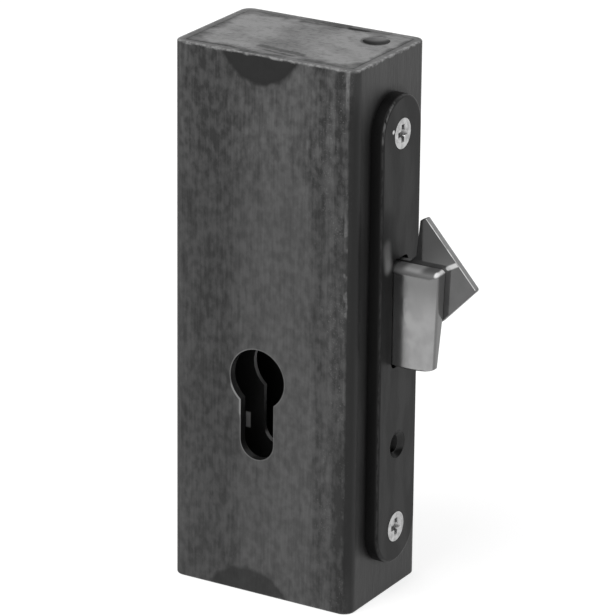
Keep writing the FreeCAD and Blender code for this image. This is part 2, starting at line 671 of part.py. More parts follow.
def driver_lever():
    """The lever, drawn hanging straight down and then swung to where the thrown bolt holds it."""
    y = (LEVER_FRONT, LEVER_BACK)
    through = (LEVER_FRONT - PAST, LEVER_BACK + PAST)
    shoulder = TAIL_FOOT + LEVER_FORK_WEB
    tip = TAIL_FOOT - LEVER_FORK_DEPTH
    hub = rod_y(KEY_X, LEVER_Z, LEVER_HUB, *y)
    shank = block(KEY_X - LEVER_SHANK_HALF, KEY_X + LEVER_SHANK_HALF, *y, shoulder, LEVER_Z)
    fork = block(KEY_X - LEVER_FORK_HALF, KEY_X + LEVER_FORK_HALF, *y, tip, shoulder)
    mouth = block(KEY_X - LEVER_MOUTH_HALF, KEY_X + LEVER_MOUTH_HALF, *through, tip - PAST, TAIL_FOOT)
    bearing = rod_y(KEY_X, LEVER_Z, LEVER_BORE_DIAMETER / 2 + PIVOT_GAP, *through)
    pin_hole = rod_y(KEY_X, LEVER_Z - LEVER_PIN_ARM, LEVER_PIN_DIAMETER / 2, *through)
    tilt = math.degrees(LEVER_TILT)
    notches = [hub_notch(tilt), hub_notch(-tilt)]
    lever = cut(fuse([hub, shank, fork]), [mouth, bearing, pin_hole] + notches)
    lever.rotate(vec(KEY_X, 0, LEVER_Z), Y_AXIS, -tilt)
    return lever


def hub_notch(turn):
    """A notch in the hub's rim for the detent spring, drawn as far above the rim as it goes below."""
    top = LEVER_Z + LEVER_HUB
    half = 2 * NOTCH_HALF
    low = top - NOTCH_DEPTH
    high = top + NOTCH_DEPTH
    corners = [(KEY_X, low), (KEY_X + half, high), (KEY_X - half, high)]
    notch = plate_xz(corners, LEVER_FRONT - PAST, LEVER_BACK + PAST)
    notch.rotate(vec(KEY_X, 0, LEVER_Z), Y_AXIS, turn)
    return notch


def driver_pin():
    return rod_y(DRIVE_X, DRIVE_Z, LEVER_PIN_DIAMETER / 2 - THREAD_GAP / 2, -BLOCK_FRONT, LEVER_BACK)


def spring_foot_x():
    return KEY_X + LEVER_HUB + SPRING_FOOT / 2


def detent_spring():
    """A leaf spring under the case's top wall, whose bent nose rests in the hub's notch."""
    half = SPRING_THICKNESS / 2
    roof = CASE_TOP - CASE_SHEET - half
    nose = LEVER_Z + LEVER_HUB - NOTCH_DEPTH + SPRING_NOSE_GAP + SPRING_THICKNESS
    flank = nose + NOTCH_DEPTH + SPRING_THICKNESS
    path = [(spring_foot_x() + SPRING_FOOT / 2, roof), (spring_foot_x() - SPRING_FOOT / 2, roof),
            (KEY_X + 2 * NOTCH_HALF, flank), (KEY_X, nose), (KEY_X - 2 * NOTCH_HALF, flank),
            (KEY_X - SPRING_TIP_REACH, roof - half)]
    strips = []
    for start, end in zip(path, path[1:]):
        strips.append(bar_xz(start, end, half, -SPRING_WIDTH / 2, SPRING_WIDTH / 2))
    hole = rod_z(spring_foot_x(), 0, SPRING_RIVET / 2 + THREAD_GAP, roof - PAST, roof + PAST)
    return fuse(strips).cut(hole)


def spring_rivet():
    under = CASE_TOP - CASE_SHEET - SPRING_THICKNESS
    shank = rod_z(spring_foot_x(), 0, SPRING_RIVET / 2, under, CASE_TOP)
    head = rod_z(spring_foot_x(), 0, SPRING_RIVET_HEAD / 2, under - SPRING_RIVET_RISE, under)
    return fuse([shank, head])


NODES = {
    "box_tube": box_tube,
    "top_end_plate": top_end_plate,
    "bottom_end_plate": bottom_end_plate,
    "end_plate_welds": end_plate_welds,
    "forend": forend,
    "forend_screws": forend_screws,
    "weld_nuts": weld_nuts,
    "lock_case": lock_case,
    "lock_cover": lock_cover,
    "case_pillars": case_pillars,
    "cover_screws": cover_screws,
    "hook_guide_pin": hook_guide_pin,
    "bolt_guide_stud": bolt_guide_stud,
    "lever_pivot_pin": lever_pivot_pin,
    "lever_spacers": lever_spacers,
    "detent_spring": detent_spring,
    "spring_rivet": spring_rivet,
    "bolt_block": bolt_block,
    "bolt_tail": bolt_tail,
    "bolt_rivets": bolt_rivets,
    "hook_pivot_pin": hook_pivot_pin,
    "hook_retaining_ring": hook_retaining_ring,
    "hook_plate": hook_plate,
    "driver_lever": driver_lever,
    "driver_pin": driver_pin,
}


def main():
    os.makedirs("parts", exist_ok=True)
    for name, build in NODES.items():
        shape = build()
        shape.exportStep(os.path.join("parts", name + ".step"))
        print(name, "solids", len(shape.Solids), "valid", shape.isValid(), "volume %.1f" % shape.Volume)
    print("box %.2f x %.2f x %.2f" % (BOX_WIDTH, BOX_DEPTH, BOX_HEIGHT))
    print("keyhole x %.2f z %.2f, screw z %.2f" % (KEY_X, KEY_Z, CYLINDER_SCREW_Z))
    print("hook pivot x %.3f z %.3f" % (HOOK_X, HOOK_Z))
    print("lever pivot x %.3f z %.3f, tilt %.4f degrees" % (KEY_X, LEVER_Z, math.degrees(LEVER_TILT)))


main()
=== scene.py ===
import json
import math
from functools import partial

import bmesh
import bpy
from bpy.props import FloatProperty, FloatVectorProperty, PointerProperty
from mathutils import Matrix, Vector


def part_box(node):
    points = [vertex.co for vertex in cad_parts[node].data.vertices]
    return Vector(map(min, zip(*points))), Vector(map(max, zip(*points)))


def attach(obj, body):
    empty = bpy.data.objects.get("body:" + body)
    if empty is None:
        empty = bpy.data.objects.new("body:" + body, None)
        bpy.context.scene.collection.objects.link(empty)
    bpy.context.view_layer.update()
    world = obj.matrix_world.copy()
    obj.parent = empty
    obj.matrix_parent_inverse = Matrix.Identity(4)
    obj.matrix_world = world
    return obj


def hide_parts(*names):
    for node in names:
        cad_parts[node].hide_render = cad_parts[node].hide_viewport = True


bl_info = {
    "name": "Gate lock",
    "version": (1, 0, 0),
    "blender": (4, 5, 0),
    "location": "3D View > Sidebar > Gate lock",
    "description": "Finishes, camera and studio for a hook lock in a welded steel box",
    "category": "Object",
}

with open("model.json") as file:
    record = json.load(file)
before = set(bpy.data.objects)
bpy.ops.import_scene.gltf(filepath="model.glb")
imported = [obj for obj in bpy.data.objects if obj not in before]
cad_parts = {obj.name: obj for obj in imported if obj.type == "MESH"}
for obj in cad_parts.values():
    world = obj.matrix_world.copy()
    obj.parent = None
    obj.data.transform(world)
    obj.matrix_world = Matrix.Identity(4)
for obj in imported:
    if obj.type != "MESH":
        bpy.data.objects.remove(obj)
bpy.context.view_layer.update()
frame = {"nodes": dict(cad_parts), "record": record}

MM = 0.001
WHITE = (1.0, 1.0, 1.0, 1.0)
ORIGIN = (0.0, 0.0, 0.0)

# What a distance leaves out when it is seen along X, Y or Z
ALONG_X = (0, 1, 1)
ALONG_Y = (1, 0, 1)
ALONG_Z = (1, 1, 0)

# Rounding of edges
SAME_POINT = 0.001 * MM
FLAT_ANGLE = math.radians(1)
SHARP_ANGLE = math.radians(40)
EDGE_STEPS = 3


def mm(*values):
    """Millimetres as metres."""
    return tuple(value * MM for value in values)


# Places read from the frame, in metres
TUBE_LOW, TUBE_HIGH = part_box("box_tube")
TUBE_TOP = TUBE_HIGH.z
TUBE_HALF = (TUBE_HIGH - TUBE_LOW) / 2
TUBE_CENTRE = (TUBE_HIGH + TUBE_LOW) / 2
FOREND_LOW, FOREND_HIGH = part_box("forend")
FOREND_HALF = (FOREND_HIGH.y - FOREND_LOW.y) / 2
BLOCK_LOW, BLOCK_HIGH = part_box("bolt_block")
COVER_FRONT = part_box("lock_cover")[0].y
MOUNTS = {mount["name"]: mount for mount in frame["record"]["mounts"]}
KEYHOLE_CENTRE = Vector(MOUNTS["keyhole"]["pos_m"])
KEYHOLE_RADIUS = MOUNTS["keyhole"]["dims"]["r_mm"] * MM
KEYHOLE_FOOT_Z = MOUNTS["cylinder_screw"]["pos_m"][2]
VENT_CENTRE = (MOUNTS["vent_hole"]["pos_m"][0], MOUNTS["vent_hole"]["pos_m"][1], 0)
VENT_RADIUS = MOUNTS["vent_hole"]["dims"]["r_mm"] * MM

# The tube's rounding, and the places of marks that the photograph shows, in metres
TUBE_ROUND = 3.0 * MM
TOP_MARK_X = -1.1 * MM
FOOT_MARK_X = -4.2 * MM
TOP_SCRATCH = (mm(4.4, 0, 144.5), mm(4.8, 0, 154.5))
# Where the painted highlight round the keyhole is brightest
KEYHOLE_NECK = (mm(-9.4, 0, 62), mm(-7.3, 0, 57))
BOLT_LIGHT_PATCH = ((FOREND_HIGH.x, -8.0 * MM, 110.0 * MM), (FOREND_HIGH.x, -7.0 * MM, 104.0 * MM))
SCREW_GLINT = (FOREND_HIGH.x, -5.3 * MM, 143.5 * MM)
CASE_FOOT = mm(-4.9, 0, 44.6)
CROWN_SPOT = (BLOCK_HIGH.x - 8.3 * MM, 0, BLOCK_HIGH.z)
# The nose's top edge, where a painted highlight lies
NOSE_EDGE = (BLOCK_HIGH.x - 0.6 * MM, 0, BLOCK_HIGH.z - 0.6 * MM)
# Where the painted reflection of the nose's highlight lies on the hook
HOOK_STREAK = ((BLOCK_HIGH.x + 0.8 * MM, 0, BLOCK_HIGH.z + 0.6 * MM),
               (BLOCK_HIGH.x + 4.0 * MM, 0, BLOCK_HIGH.z + 2.4 * MM))

# Strength of the foot's heat mark, where the top one has 1
FOOT_MARK_STRENGTH = 0.72

# Grey rectangle on the lock cover, in millimetres: its sides along X and Z
COVER_MARK_X = (-12.7, -11.5)
COVER_MARK_Z = (46.0, 50.2)

# How the upper limit of the painted shade in the vent hole slopes along X and Y, the way the camera looks in
VENT_SHADE_SLOPE = (-0.3, 0.51)

# Scars of the welds on the ground ends, in millimetres: start, end, half width, and strength from 0 to 1
WELD_SCARS = (
    ((-5.8, -11.6), (8.4, -13.1), 1.1, 0.45),
    ((-4, -14.3), (7, -15.6), 0.4, 0.45),
    ((-27, -17.7), (-13, -16.3), 0.35, 0.5),
    ((-8.7, 15.4), (7.2, 16.3), 0.5, 0.45),
    ((7.2, 16.8), (11.8, 17.0), 1.2, 0.9),
)

# Studio, in metres
FLOOR_DROP = 0.05 * MM
FLOOR_HALF = 6.0
FLOOR_SHADOW = (0.4, 0.4, 0.4)
FLOOR_GLOW = 0.75
KEY_PLACE, KEY_SIZE = (-0.3, -1.1, 1.9), 1.4
RIM_PLACE, RIM_SIZE = (0.54, 1.3, 0.85), 0.35
SENSOR_WIDTH_MM = 36.0
NEAR_CLIP = 0.01


def length(name, description, millimetres):
    return FloatProperty(name=name, description=description, default=millimetres * MM,
                         subtype="DISTANCE", unit="LENGTH")


def angle(name, description, degrees):
    return FloatProperty(name=name, description=description, default=math.radians(degrees),
                         subtype="ANGLE", unit="ROTATION")


def share(name, description, default):
    return FloatProperty(name=name, description=description, default=default,
                         min=0.0, max=1.0, subtype="FACTOR")


def grey(name, description, level):
    return FloatVectorProperty(name=name, description=description, default=(level, level, level),
                               size=3, min=0.0, max=1.0, subtype="COLOR")


class GateLockSizes(bpy.types.PropertyGroup):
    """Sizes of the marks and worn places."""
    keyhole_slot: length("Keyhole slot", "Width of the slot below the keyhole's circle", 11.0)
    # The keyhole's rim is painted as a highlight
    keyhole_rim: length("Keyhole rim", "Width of the deburred line round the keyhole", 0.45)
    end_rim: length("End rim", "Height of the worn line along the tube's ends", 1.3)
    screw_bore: length("Screw bore", "Radius of the holes through the forend", 2.7)
    screw_sink: length("Screw sink", "Radius of the cylinder screw's countersink", 4.2)
    hook_edge: length("Hook edge", "Rounding of the hook's edges", 0.3)
    wall: length("Tube wall", "Thickness of the tube's wall", 2.5)
    top_mark_width: length("Top heat mark width", "Width of the weld's heat mark at the top", 25.2)
    top_mark_depth: length("Top heat mark depth", "How far the mark reaches down from the top", 8.6)
    foot_mark_width: length("Foot heat mark width", "Width of the weld's heat mark at the foot", 27.0)
    foot_mark_depth: length("Foot heat mark height", "How far the mark reaches up from the foot", 7.4)


class GateLockColours(bpy.types.PropertyGroup):
    """Base colours of the finishes."""
    scale_dark: grey("Mill scale, dark", "Darker streaks of the tube", 0.02)
    scale_light: grey("Mill scale, light", "Lighter streaks of the tube", 0.115)
    # Dark inside of the tube and the lock case, also the colour of painted shade round the forend, past the
    # corners and on the keyhole's cut wall
    dark_inside_and_shade: grey("Tube inside", "Oiled inside of the tube, soot and dark corners", 0.008)
    # Bare steel of specks and cut edges, and painted highlights on the tube's corners, round the keyhole, on
    # the forend's rim and in its countersink
    bare_steel_and_highlight: grey("Bare steel", "Worn corners and specks", 0.22)
    worn_rim: grey("Worn rim", "Rubbed rims at the tube's ends and the vent hole's wall", 0.34)
    heat_mark: grey("Heat mark", "Half-moons and scars left by the welds", 0.008)
    plate: grey("Ground plate", "End plates and tube ends, ground flush", 0.185)
    plate_dark: grey("Ground plate, dark", "Tarnish on the ground steel", 0.05)
    forend: grey("Forend face", "Semi-gloss black face", 0.014)
    # Darker clouds of the forend's face, and painted shade on its sides, beside the bolt and in the
    # countersink
    forend_dark_and_shade: grey("Forend side", "Sides of the forend, and grime on its face", 0.006)
    nickel: grey("Bolt block", "Plated cast block", 0.32)
    # Cloudy places, and painted shade on the block's upper part
    nickel_dark_and_shade: grey("Bolt block, dark", "Cloudy places and the upper part of the block", 0.19)
    cast: grey("Bolt block, crown and nose", "Satin cast skin", 0.17)
    hook: grey("Hook", "Polished hook plate", 0.122)
    # Darker clouds, and painted shade on the hook's upper part
    hook_dark_and_shade: grey("Hook, dark", "Darker upper part of the hook", 0.052)
    blanked_edge: grey("Hook edge", "Blanked edges of the hook", 0.16)
    # Painted highlights on the hook's upper edge, the block's nose and beside a screw, and a painted
    # reflection on the hook
    painted_glint: grey("Rubbed edges", "Burnished edges of the hook and the block's nose, and bare chips", 0.85)
    zinc: grey("Zinc", "Zinc-plated screws and levers", 0.52)
    case_sheet: grey("Lock case", "Dark coated sheet of the lock case", 0.012)
    pin: grey("Pins", "Turned bright steel", 0.5)
    # Also the painted shade deep in the vent hole and the painted dark reflection on the block's crown
    spring: grey("Spring", "Blued spring steel, and dull places on bright parts", 0.09)


class GateLockStudio(bpy.types.PropertyGroup):
    """Camera, lamps and floor."""
    azimuth: angle("Azimuth", "Camera's turn towards the forend side", 30.62)
    elevation: angle("Elevation", "Camera's height above the horizon", 20.08)
    roll: angle("Roll", "Camera's turn about its own axis", 0.61)
    distance: length("Distance", "From the box's middle to the camera", 1253.5)
    aside: length("Aside", "Camera moved to its right", 3.12)
    lift: length("Lift", "Camera moved up in its own frame", 0.88)
    lens: FloatProperty(name="Focal length", description="In millimetres on a 36 mm sensor", default=253.15)
    room: share("Room light", "Strength of the white room", 0.55)
    key: FloatProperty(name="Key lamp", description="Power of the large lamp, in watts", default=26.0)
    rim: FloatProperty(name="Rim lamp", description="Power of the small lamp behind, in watts", default=1.2)
    floor: share("Floor", "How light the floor is", 0.8)


class GateLockSettings(bpy.types.PropertyGroup):
    """All settings of the lock."""
    sizes: PointerProperty(type=GateLockSizes)
    colours: PointerProperty(type=GateLockColours)
    studio: PointerProperty(type=GateLockStudio)


# Shader building


def give(tree, socket, value):
    """Link a socket to another or set its value. A colour of three parts becomes an opaque one."""
    if isinstance(value, bpy.types.NodeSocket):
        tree.links.new(value, socket)
    elif socket.type == "RGBA" and len(value) == 3:
        socket.default_value = (*value, 1.0)
    else:
        socket.default_value = value


def add(tree, kind, inputs=None, **options):
    """Add a node, set its options, and give each named input a value or a link."""
    made = tree.nodes.new(kind)
    for name, value in options.items():
        setattr(made, name, value)
    for name, value in (inputs or {}).items():
        give(tree, made.inputs[name], value)
    return made


def calc(operation, tree, *values, clamp=False):
    inputs = dict(enumerate(values))
    return add(tree, "ShaderNodeMath", inputs, operation=operation, use_clamp=clamp).outputs[0]


plus = partial(calc, "ADD")
minus = partial(calc, "SUBTRACT")
times = partial(calc, "MULTIPLY")
times_plus = partial(calc, "MULTIPLY_ADD")
larger = partial(calc, "MAXIMUM")
smaller = partial(calc, "MINIMUM")
magnitude = partial(calc, "ABSOLUTE")


def inverse(tree, mask):
    return minus(tree, 1.0, mask)


def vector_calc(operation, tree, *values, output=0):
    inputs = dict(enumerate(values))
    return add(tree, "ShaderNodeVectorMath", inputs, operation=operation).outputs[output]


def ramp(tree, value, low, high, to_low=0.0, to_high=1.0):
    """Smooth change from to_low to to_high while the value goes from low to high."""
    inputs = {"Value": value, "From Min": low, "From Max": high, "To Min": to_low, "To Max": to_high}
    return add(tree, "ShaderNodeMapRange", inputs, interpolation_type="SMOOTHSTEP").outputs["Result"]


def ramp_mm(tree, value, low, high, to_low=0.0, to_high=1.0):
    """A ramp over a length, whose ends are in millimetres."""
    return ramp(tree, value, low * MM, high * MM, to_low, to_high)


def band(tree, value, low, high, soft):
    """1 while the value lies between low and high, and 0 once it is soft away from them."""
    return times(tree, ramp(tree, value, low - soft, low), ramp(tree, value, high + soft, high))


def band_mm(tree, value, low, high, soft):
    """A band over a length, in millimetres."""
    return band(tree, value, *mm(low, high, soft))


def blend(tree, factor, first, second):
    """Mix two colours by a factor."""
    return add(tree, "ShaderNodeMix", {0: factor, 6: first, 7: second}, data_type="RGBA").outputs[2]


def object_position(tree):
    return add(tree, "ShaderNodeTexCoord").outputs["Object"]


def object_normal(tree):
    return add(tree, "ShaderNodeTexCoord").outputs["Normal"]


def split(tree, vector):
    return tuple(add(tree, "ShaderNodeSeparateXYZ", {"Vector": vector}).outputs)


def clean_tree(owner):
    """The node tree of a material or a world, emptied."""
    owner.use_nodes = True
    owner.node_tree.nodes.clear()
    return owner.node_tree


def new_group(name, inputs, outputs):
    """An empty node group with named sockets."""
    group = bpy.data.node_groups.new(name, "ShaderNodeTree")
    for label, kind, default in inputs:
        socket = group.interface.new_socket(label, in_out="INPUT", socket_type="NodeSocket" + kind)
        socket.default_value = default
    for label, kind in outputs:
        group.interface.new_socket(label, in_out="OUTPUT", socket_type="NodeSocket" + kind)
    return group, group.nodes.new("NodeGroupInput").outputs, group.nodes.new("NodeGroupOutput").inputs


def use(tree, group, inputs):
    return add(tree, "ShaderNodeGroup", inputs, node_tree=bpy.data.node_groups[group]).outputs


def make_mottle_group():
    """Noise stretched along each axis: the size of its patches is given in metres."""
    group, given, out = new_group(
        "Mottle",
        [("Position", "Vector", ORIGIN), ("Patch", "Vector", mm(10, 10, 10)), ("Detail", "Float", 3.0),
         ("Shift", "Vector", ORIGIN), ("Low", "Float", 0.35), ("High", "Float", 0.65)],
        [("Mask", "Float")])
    moved = vector_calc("ADD", group, given["Position"], given["Shift"])
    scaled = vector_calc("DIVIDE", group, moved, given["Patch"])
    noise = add(group, "ShaderNodeTexNoise", {"Vector": scaled, "Scale": 1.0, "Detail": given["Detail"]})
    give(group, out["Mask"], ramp(group, noise.outputs["Fac"], given["Low"], given["High"]))


def make_reach_group():
    """Distance from a position to the straight line between two points."""
    group, given, out = new_group(
        "Reach",
        [("Position", "Vector", ORIGIN), ("Start", "Vector", ORIGIN), ("End", "Vector", ORIGIN),
         ("Plane", "Vector", (1, 1, 1))],
        [("Distance", "Float")])
    from_start = vector_calc("SUBTRACT", group, given["Position"], given["Start"])
    flat = vector_calc("MULTIPLY", group, from_start, given["Plane"])
    run = vector_calc("SUBTRACT", group, given["End"], given["Start"])
    along = vector_calc("DOT_PRODUCT", group, flat, run, output="Value")
    whole = vector_calc("DOT_PRODUCT", group, run, run, output="Value")
    part = calc("DIVIDE", group, along, whole, clamp=True)
    foot = add(group, "ShaderNodeVectorMath", {0: run, "Scale": part}, operation="SCALE").outputs[0]
    apart = vector_calc("SUBTRACT", group, flat, foot)
    give(group, out["Distance"], vector_calc("LENGTH", group, apart, output="Value"))


def make_scratch_group():
    """Fine lines that run along X, turned about Z by an angle."""
    group, given, out = new_group(
        "Scratches",
        [("Position", "Vector", ORIGIN), ("Turn", "Float", 0.0), ("Fine", "Float", 0.3 * MM),
         ("Long", "Float", 20 * MM)],
        [("Lines", "Float")])
    turned = add(group, "ShaderNodeVectorRotate", {"Vector": given["Position"], "Angle": given["Turn"]},
                 rotation_type="Z_AXIS")
    size = add(group, "ShaderNodeCombineXYZ", {0: given["Long"], 1: given["Fine"], 2: given["Fine"]})
    scaled = vector_calc("DIVIDE", group, turned.outputs[0], size.outputs[0])
    noise = add(group, "ShaderNodeTexNoise",
                {"Vector": scaled, "Scale": 1.0, "Detail": 4.0, "Roughness": 0.7})
    give(group, out["Lines"], ramp(group, noise.outputs["Fac"], 0.3, 0.7))


def make_shared_groups():
    for name, make in (("Mottle", make_mottle_group), ("Reach", make_reach_group),
                       ("Scratches", make_scratch_group), ("Ground face", make_ground_group)):
        if name not in bpy.data.node_groups:
            make()


def mottle(tree, position, patch_mm, detail=3.0, shift=(0, 0, 0), low=0.35, high=0.65):
    """Cloudy patches from 0 to 1. Their size is in millimetres, and shift, in metres, tells them apart."""
    return use(tree, "Mottle", {"Position": position, "Patch": mm(*patch_mm), "Detail": detail,
                                "Shift": shift, "Low": low, "High": high})["Mask"]


def reach(tree, position, start, end, plane=(1, 1, 1)):
    """Distance to the line from start to end, seen along the axis that the plane leaves out."""
    return use(tree, "Reach", {"Position": position, "Start": tuple(start), "End": tuple(end),
                               "Plane": plane})["Distance"]


def scratches(tree, position, degrees, fine_mm, long_mm):
    return use(tree, "Scratches", {"Position": position, "Turn": math.radians(degrees),
                                   "Fine": fine_mm * MM, "Long": long_mm * MM})["Lines"]


def new_material(name, metallic=0.0, specular=0.5):
    """A material with an empty tree but for its shader and output."""
    material = bpy.data.materials.new(name)
    tree = clean_tree(material)
    shader = add(tree, "ShaderNodeBsdfPrincipled", {"Metallic": metallic, "Specular IOR Level": specular})
    add(tree, "ShaderNodeOutputMaterial", {"Surface": shader.outputs[0]})
    return material, tree, shader


def finish_shader(tree, shader, base, roughness, height, depth):
    """Link the colour, the roughness and a bump whose depth is in metres."""
    give(tree, shader.inputs["Base Color"], base)
    give(tree, shader.inputs["Roughness"], roughness)
    bump = add(tree, "ShaderNodeBump", {"Height": height, "Strength": 1.0, "Distance": depth})
    give(tree, shader.inputs["Normal"], bump.outputs[0])


def paint(material, *nodes):
    """Give CAD nodes a material in place of their plain one."""
    for name in nodes:
        mesh = frame["nodes"][name].data
        mesh.materials.clear()
        mesh.materials.append(material)


def object_from(shape, name):
    """Turn an edit mesh into an object of the scene."""
    mesh = bpy.data.meshes.new(name)
    shape.to_mesh(mesh)
    shape.free()
    made = bpy.data.objects.new(name, mesh)
    bpy.context.scene.collection.objects.link(made)
    return made


def rounded_copy(node, name, width, body):
    """A copy of a CAD piece with its sharp edges rounded, shown in the piece's place."""
    shape = bmesh.new()
    shape.from_mesh(frame["nodes"][node].data)
    bmesh.ops.remove_doubles(shape, verts=shape.verts, dist=SAME_POINT)
    bmesh.ops.dissolve_limit(shape, angle_limit=FLAT_ANGLE, verts=shape.verts, edges=shape.edges)
    sharp = [edge for edge in shape.edges if edge.calc_face_angle(0) > SHARP_ANGLE]
    bmesh.ops.bevel(shape, geom=sharp, offset=width, affect="EDGES", segments=EDGE_STEPS, profile=0.5,
                    material=-1, clamp_overlap=True)
    for edge in shape.edges:
        edge.smooth = edge.calc_face_angle(0) < SHARP_ANGLE
    for face in shape.faces:
        face.smooth = True
    piece = object_from(shape, name)
    weighted = piece.modifiers.new("even_shading", "WEIGHTED_NORMAL")
    weighted.keep_sharp = True
    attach(piece, body)
    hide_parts(node)
    return piece


# Finishes of the box


def depth_inside(tree, x, y):
    """How far inside the tube's outer outline a point lies, seen along the tube."""
    past_x = minus(tree, magnitude(tree, x), TUBE_HALF.x - TUBE_ROUND)
    past_y = minus(tree, magnitude(tree, y), TUBE_HALF.y - TUBE_ROUND)
    corner_x, corner_y = larger(tree, past_x, 0.0), larger(tree, past_y, 0.0)
    in_corner = add(tree, "ShaderNodeCombineXYZ", {0: corner_x, 1: corner_y}).outputs[0]
    rounded = vector_calc("LENGTH", tree, in_corner, output="Value")
    straight = smaller(tree, larger(tree, past_x, past_y), 0.0)
    return minus(tree, TUBE_ROUND, plus(tree, rounded, straight))


def tarnish_amount(tree, position, x, y, depth, lines):
    """Tarnish on ground steel: a border that is narrower towards the forend, the middle, clouds and spots."""
    drift = mottle(tree, position, (6, 5, 6), 3.0, (0.7, 0.2, 0), 0.0, 1.0)
    wandered = times_plus(tree, drift, 7 * MM, depth)
    spared = times(tree, band_mm(tree, x, 21.5, 25, 3), ramp_mm(tree, y, -13, -8))
    wandered = times_plus(tree, spared, 4 * MM, wandered)
    border = ramp_mm(tree, wandered, 11, 5.5, 0.0, 0.75)
    middle = ramp_mm(tree, magnitude(tree, plus(tree, x, 1 * MM)), 12, 3, 0.0, 0.34)
    clouds = mottle(tree, position, (10, 6, 6), 4.0, (0.4, 0.1, 0), 0.34, 0.66)
    spots = mottle(tree, position, (1.8, 1.4, 1.4), 4.0, (0.2, 0.3, 0), 0.45, 0.7)
    tarnish = times_plus(tree, clouds, 0.32, larger(tree, border, middle))
    tarnish = times_plus(tree, spots, 0.26, tarnish)
    return minus(tree, tarnish, times(tree, lines, 0.2), clamp=True)


def make_ground_group():
    """Ground steel: grinding lines, tarnish, the seam along the tube's wall, and scars of the welds."""
    group, given, out = new_group(
        "Ground face",
        [("Position", "Vector", ORIGIN), ("Steel", "Color", WHITE), ("Tarnish", "Color", WHITE),
         ("Scar", "Color", WHITE), ("Wall", "Float", 2.5 * MM)],
        [("Color", "Color"), ("Roughness", "Float"), ("Height", "Float")])
    position = given["Position"]
    x, y, _ = split(group, position)
    lines = scratches(group, position, 12, 0.3, 16)
    crossing = scratches(group, position, -38, 0.25, 7)
    ragged = mottle(group, position, (1.5, 1.5, 1.5), 3.0, low=0.0, high=1.0)
    depth = depth_inside(group, x, y)
    tarnish = tarnish_amount(group, position, x, y, depth, lines)
    base = blend(group, tarnish, given["Steel"], given["Tarnish"])
    seam = times_plus(group, ragged, 1.2 * MM, minus(group, depth, given["Wall"]))
    seam = band_mm(group, seam, 0.3, 0.9, 0.4)
    base = blend(group, times(group, seam, 0.3), base, given["Scar"])
    scarred = 0.0
    for start, end, width, strength in WELD_SCARS:
        distance = reach(group, position, mm(*start, 0), mm(*end, 0), ALONG_Z)
        rough_edge = times_plus(group, ragged, 0.9 * MM, distance)
        mask = ramp_mm(group, rough_edge, width + 1.0, width, 0.0, strength)
        base = blend(group, mask, base, given["Scar"])
        scarred = larger(group, scarred, mask)
    give(group, out["Color"], base)
    dull = times_plus(group, tarnish, 0.3, ramp(group, crossing, 0.0, 1.0, 0.44, 0.32))
    give(group, out["Roughness"], times_plus(group, scarred, 0.5, dull, clamp=True))
    give(group, out["Height"], times_plus(group, crossing, 0.5, lines))


def ground_face(tree, position, sizes, colours):
    return use(tree, "Ground face", {"Position": position, "Steel": colours.plate,
                                     "Tarnish": colours.plate_dark, "Scar": colours.heat_mark,
                                     "Wall": sizes.wall})


def heat_moon(tree, position, middle_x, edge_z, way, width, depth):
    """The half-moon that a weld leaves on the wall, at the top with way 1 or at the foot with -1."""
    radius = (width * width / 4 + depth * depth) / (2 * depth)
    centre = (middle_x, 0, edge_z + way * (radius - depth))
    distance = reach(tree, position, centre, centre, ALONG_Y)
    ragged = mottle(tree, position, (3, 3, 3), 4.0, low=0.0, high=1.0)
    edge = times_plus(tree, ragged, 1.6 * MM, distance)
    inner = times(tree, ramp(tree, edge, radius + 0.2 * MM, radius - 1.5 * MM, 0.0, 0.06), ragged)
    return minus(tree, ramp(tree, edge, radius + 1.7 * MM, radius), inner)


def keyhole_outline(tree, position, sizes):
    """How far outside the keyhole's edge a point on the wall lies."""
    centre = KEYHOLE_CENTRE
    foot = (centre.x, centre.y, KEYHOLE_FOOT_Z)
    circle = minus(tree, reach(tree, position, centre, centre, ALONG_Y), KEYHOLE_RADIUS)
    slot = minus(tree, reach(tree, position, centre, foot, ALONG_Y), sizes.keyhole_slot / 2)
    return smaller(tree, circle, slot)


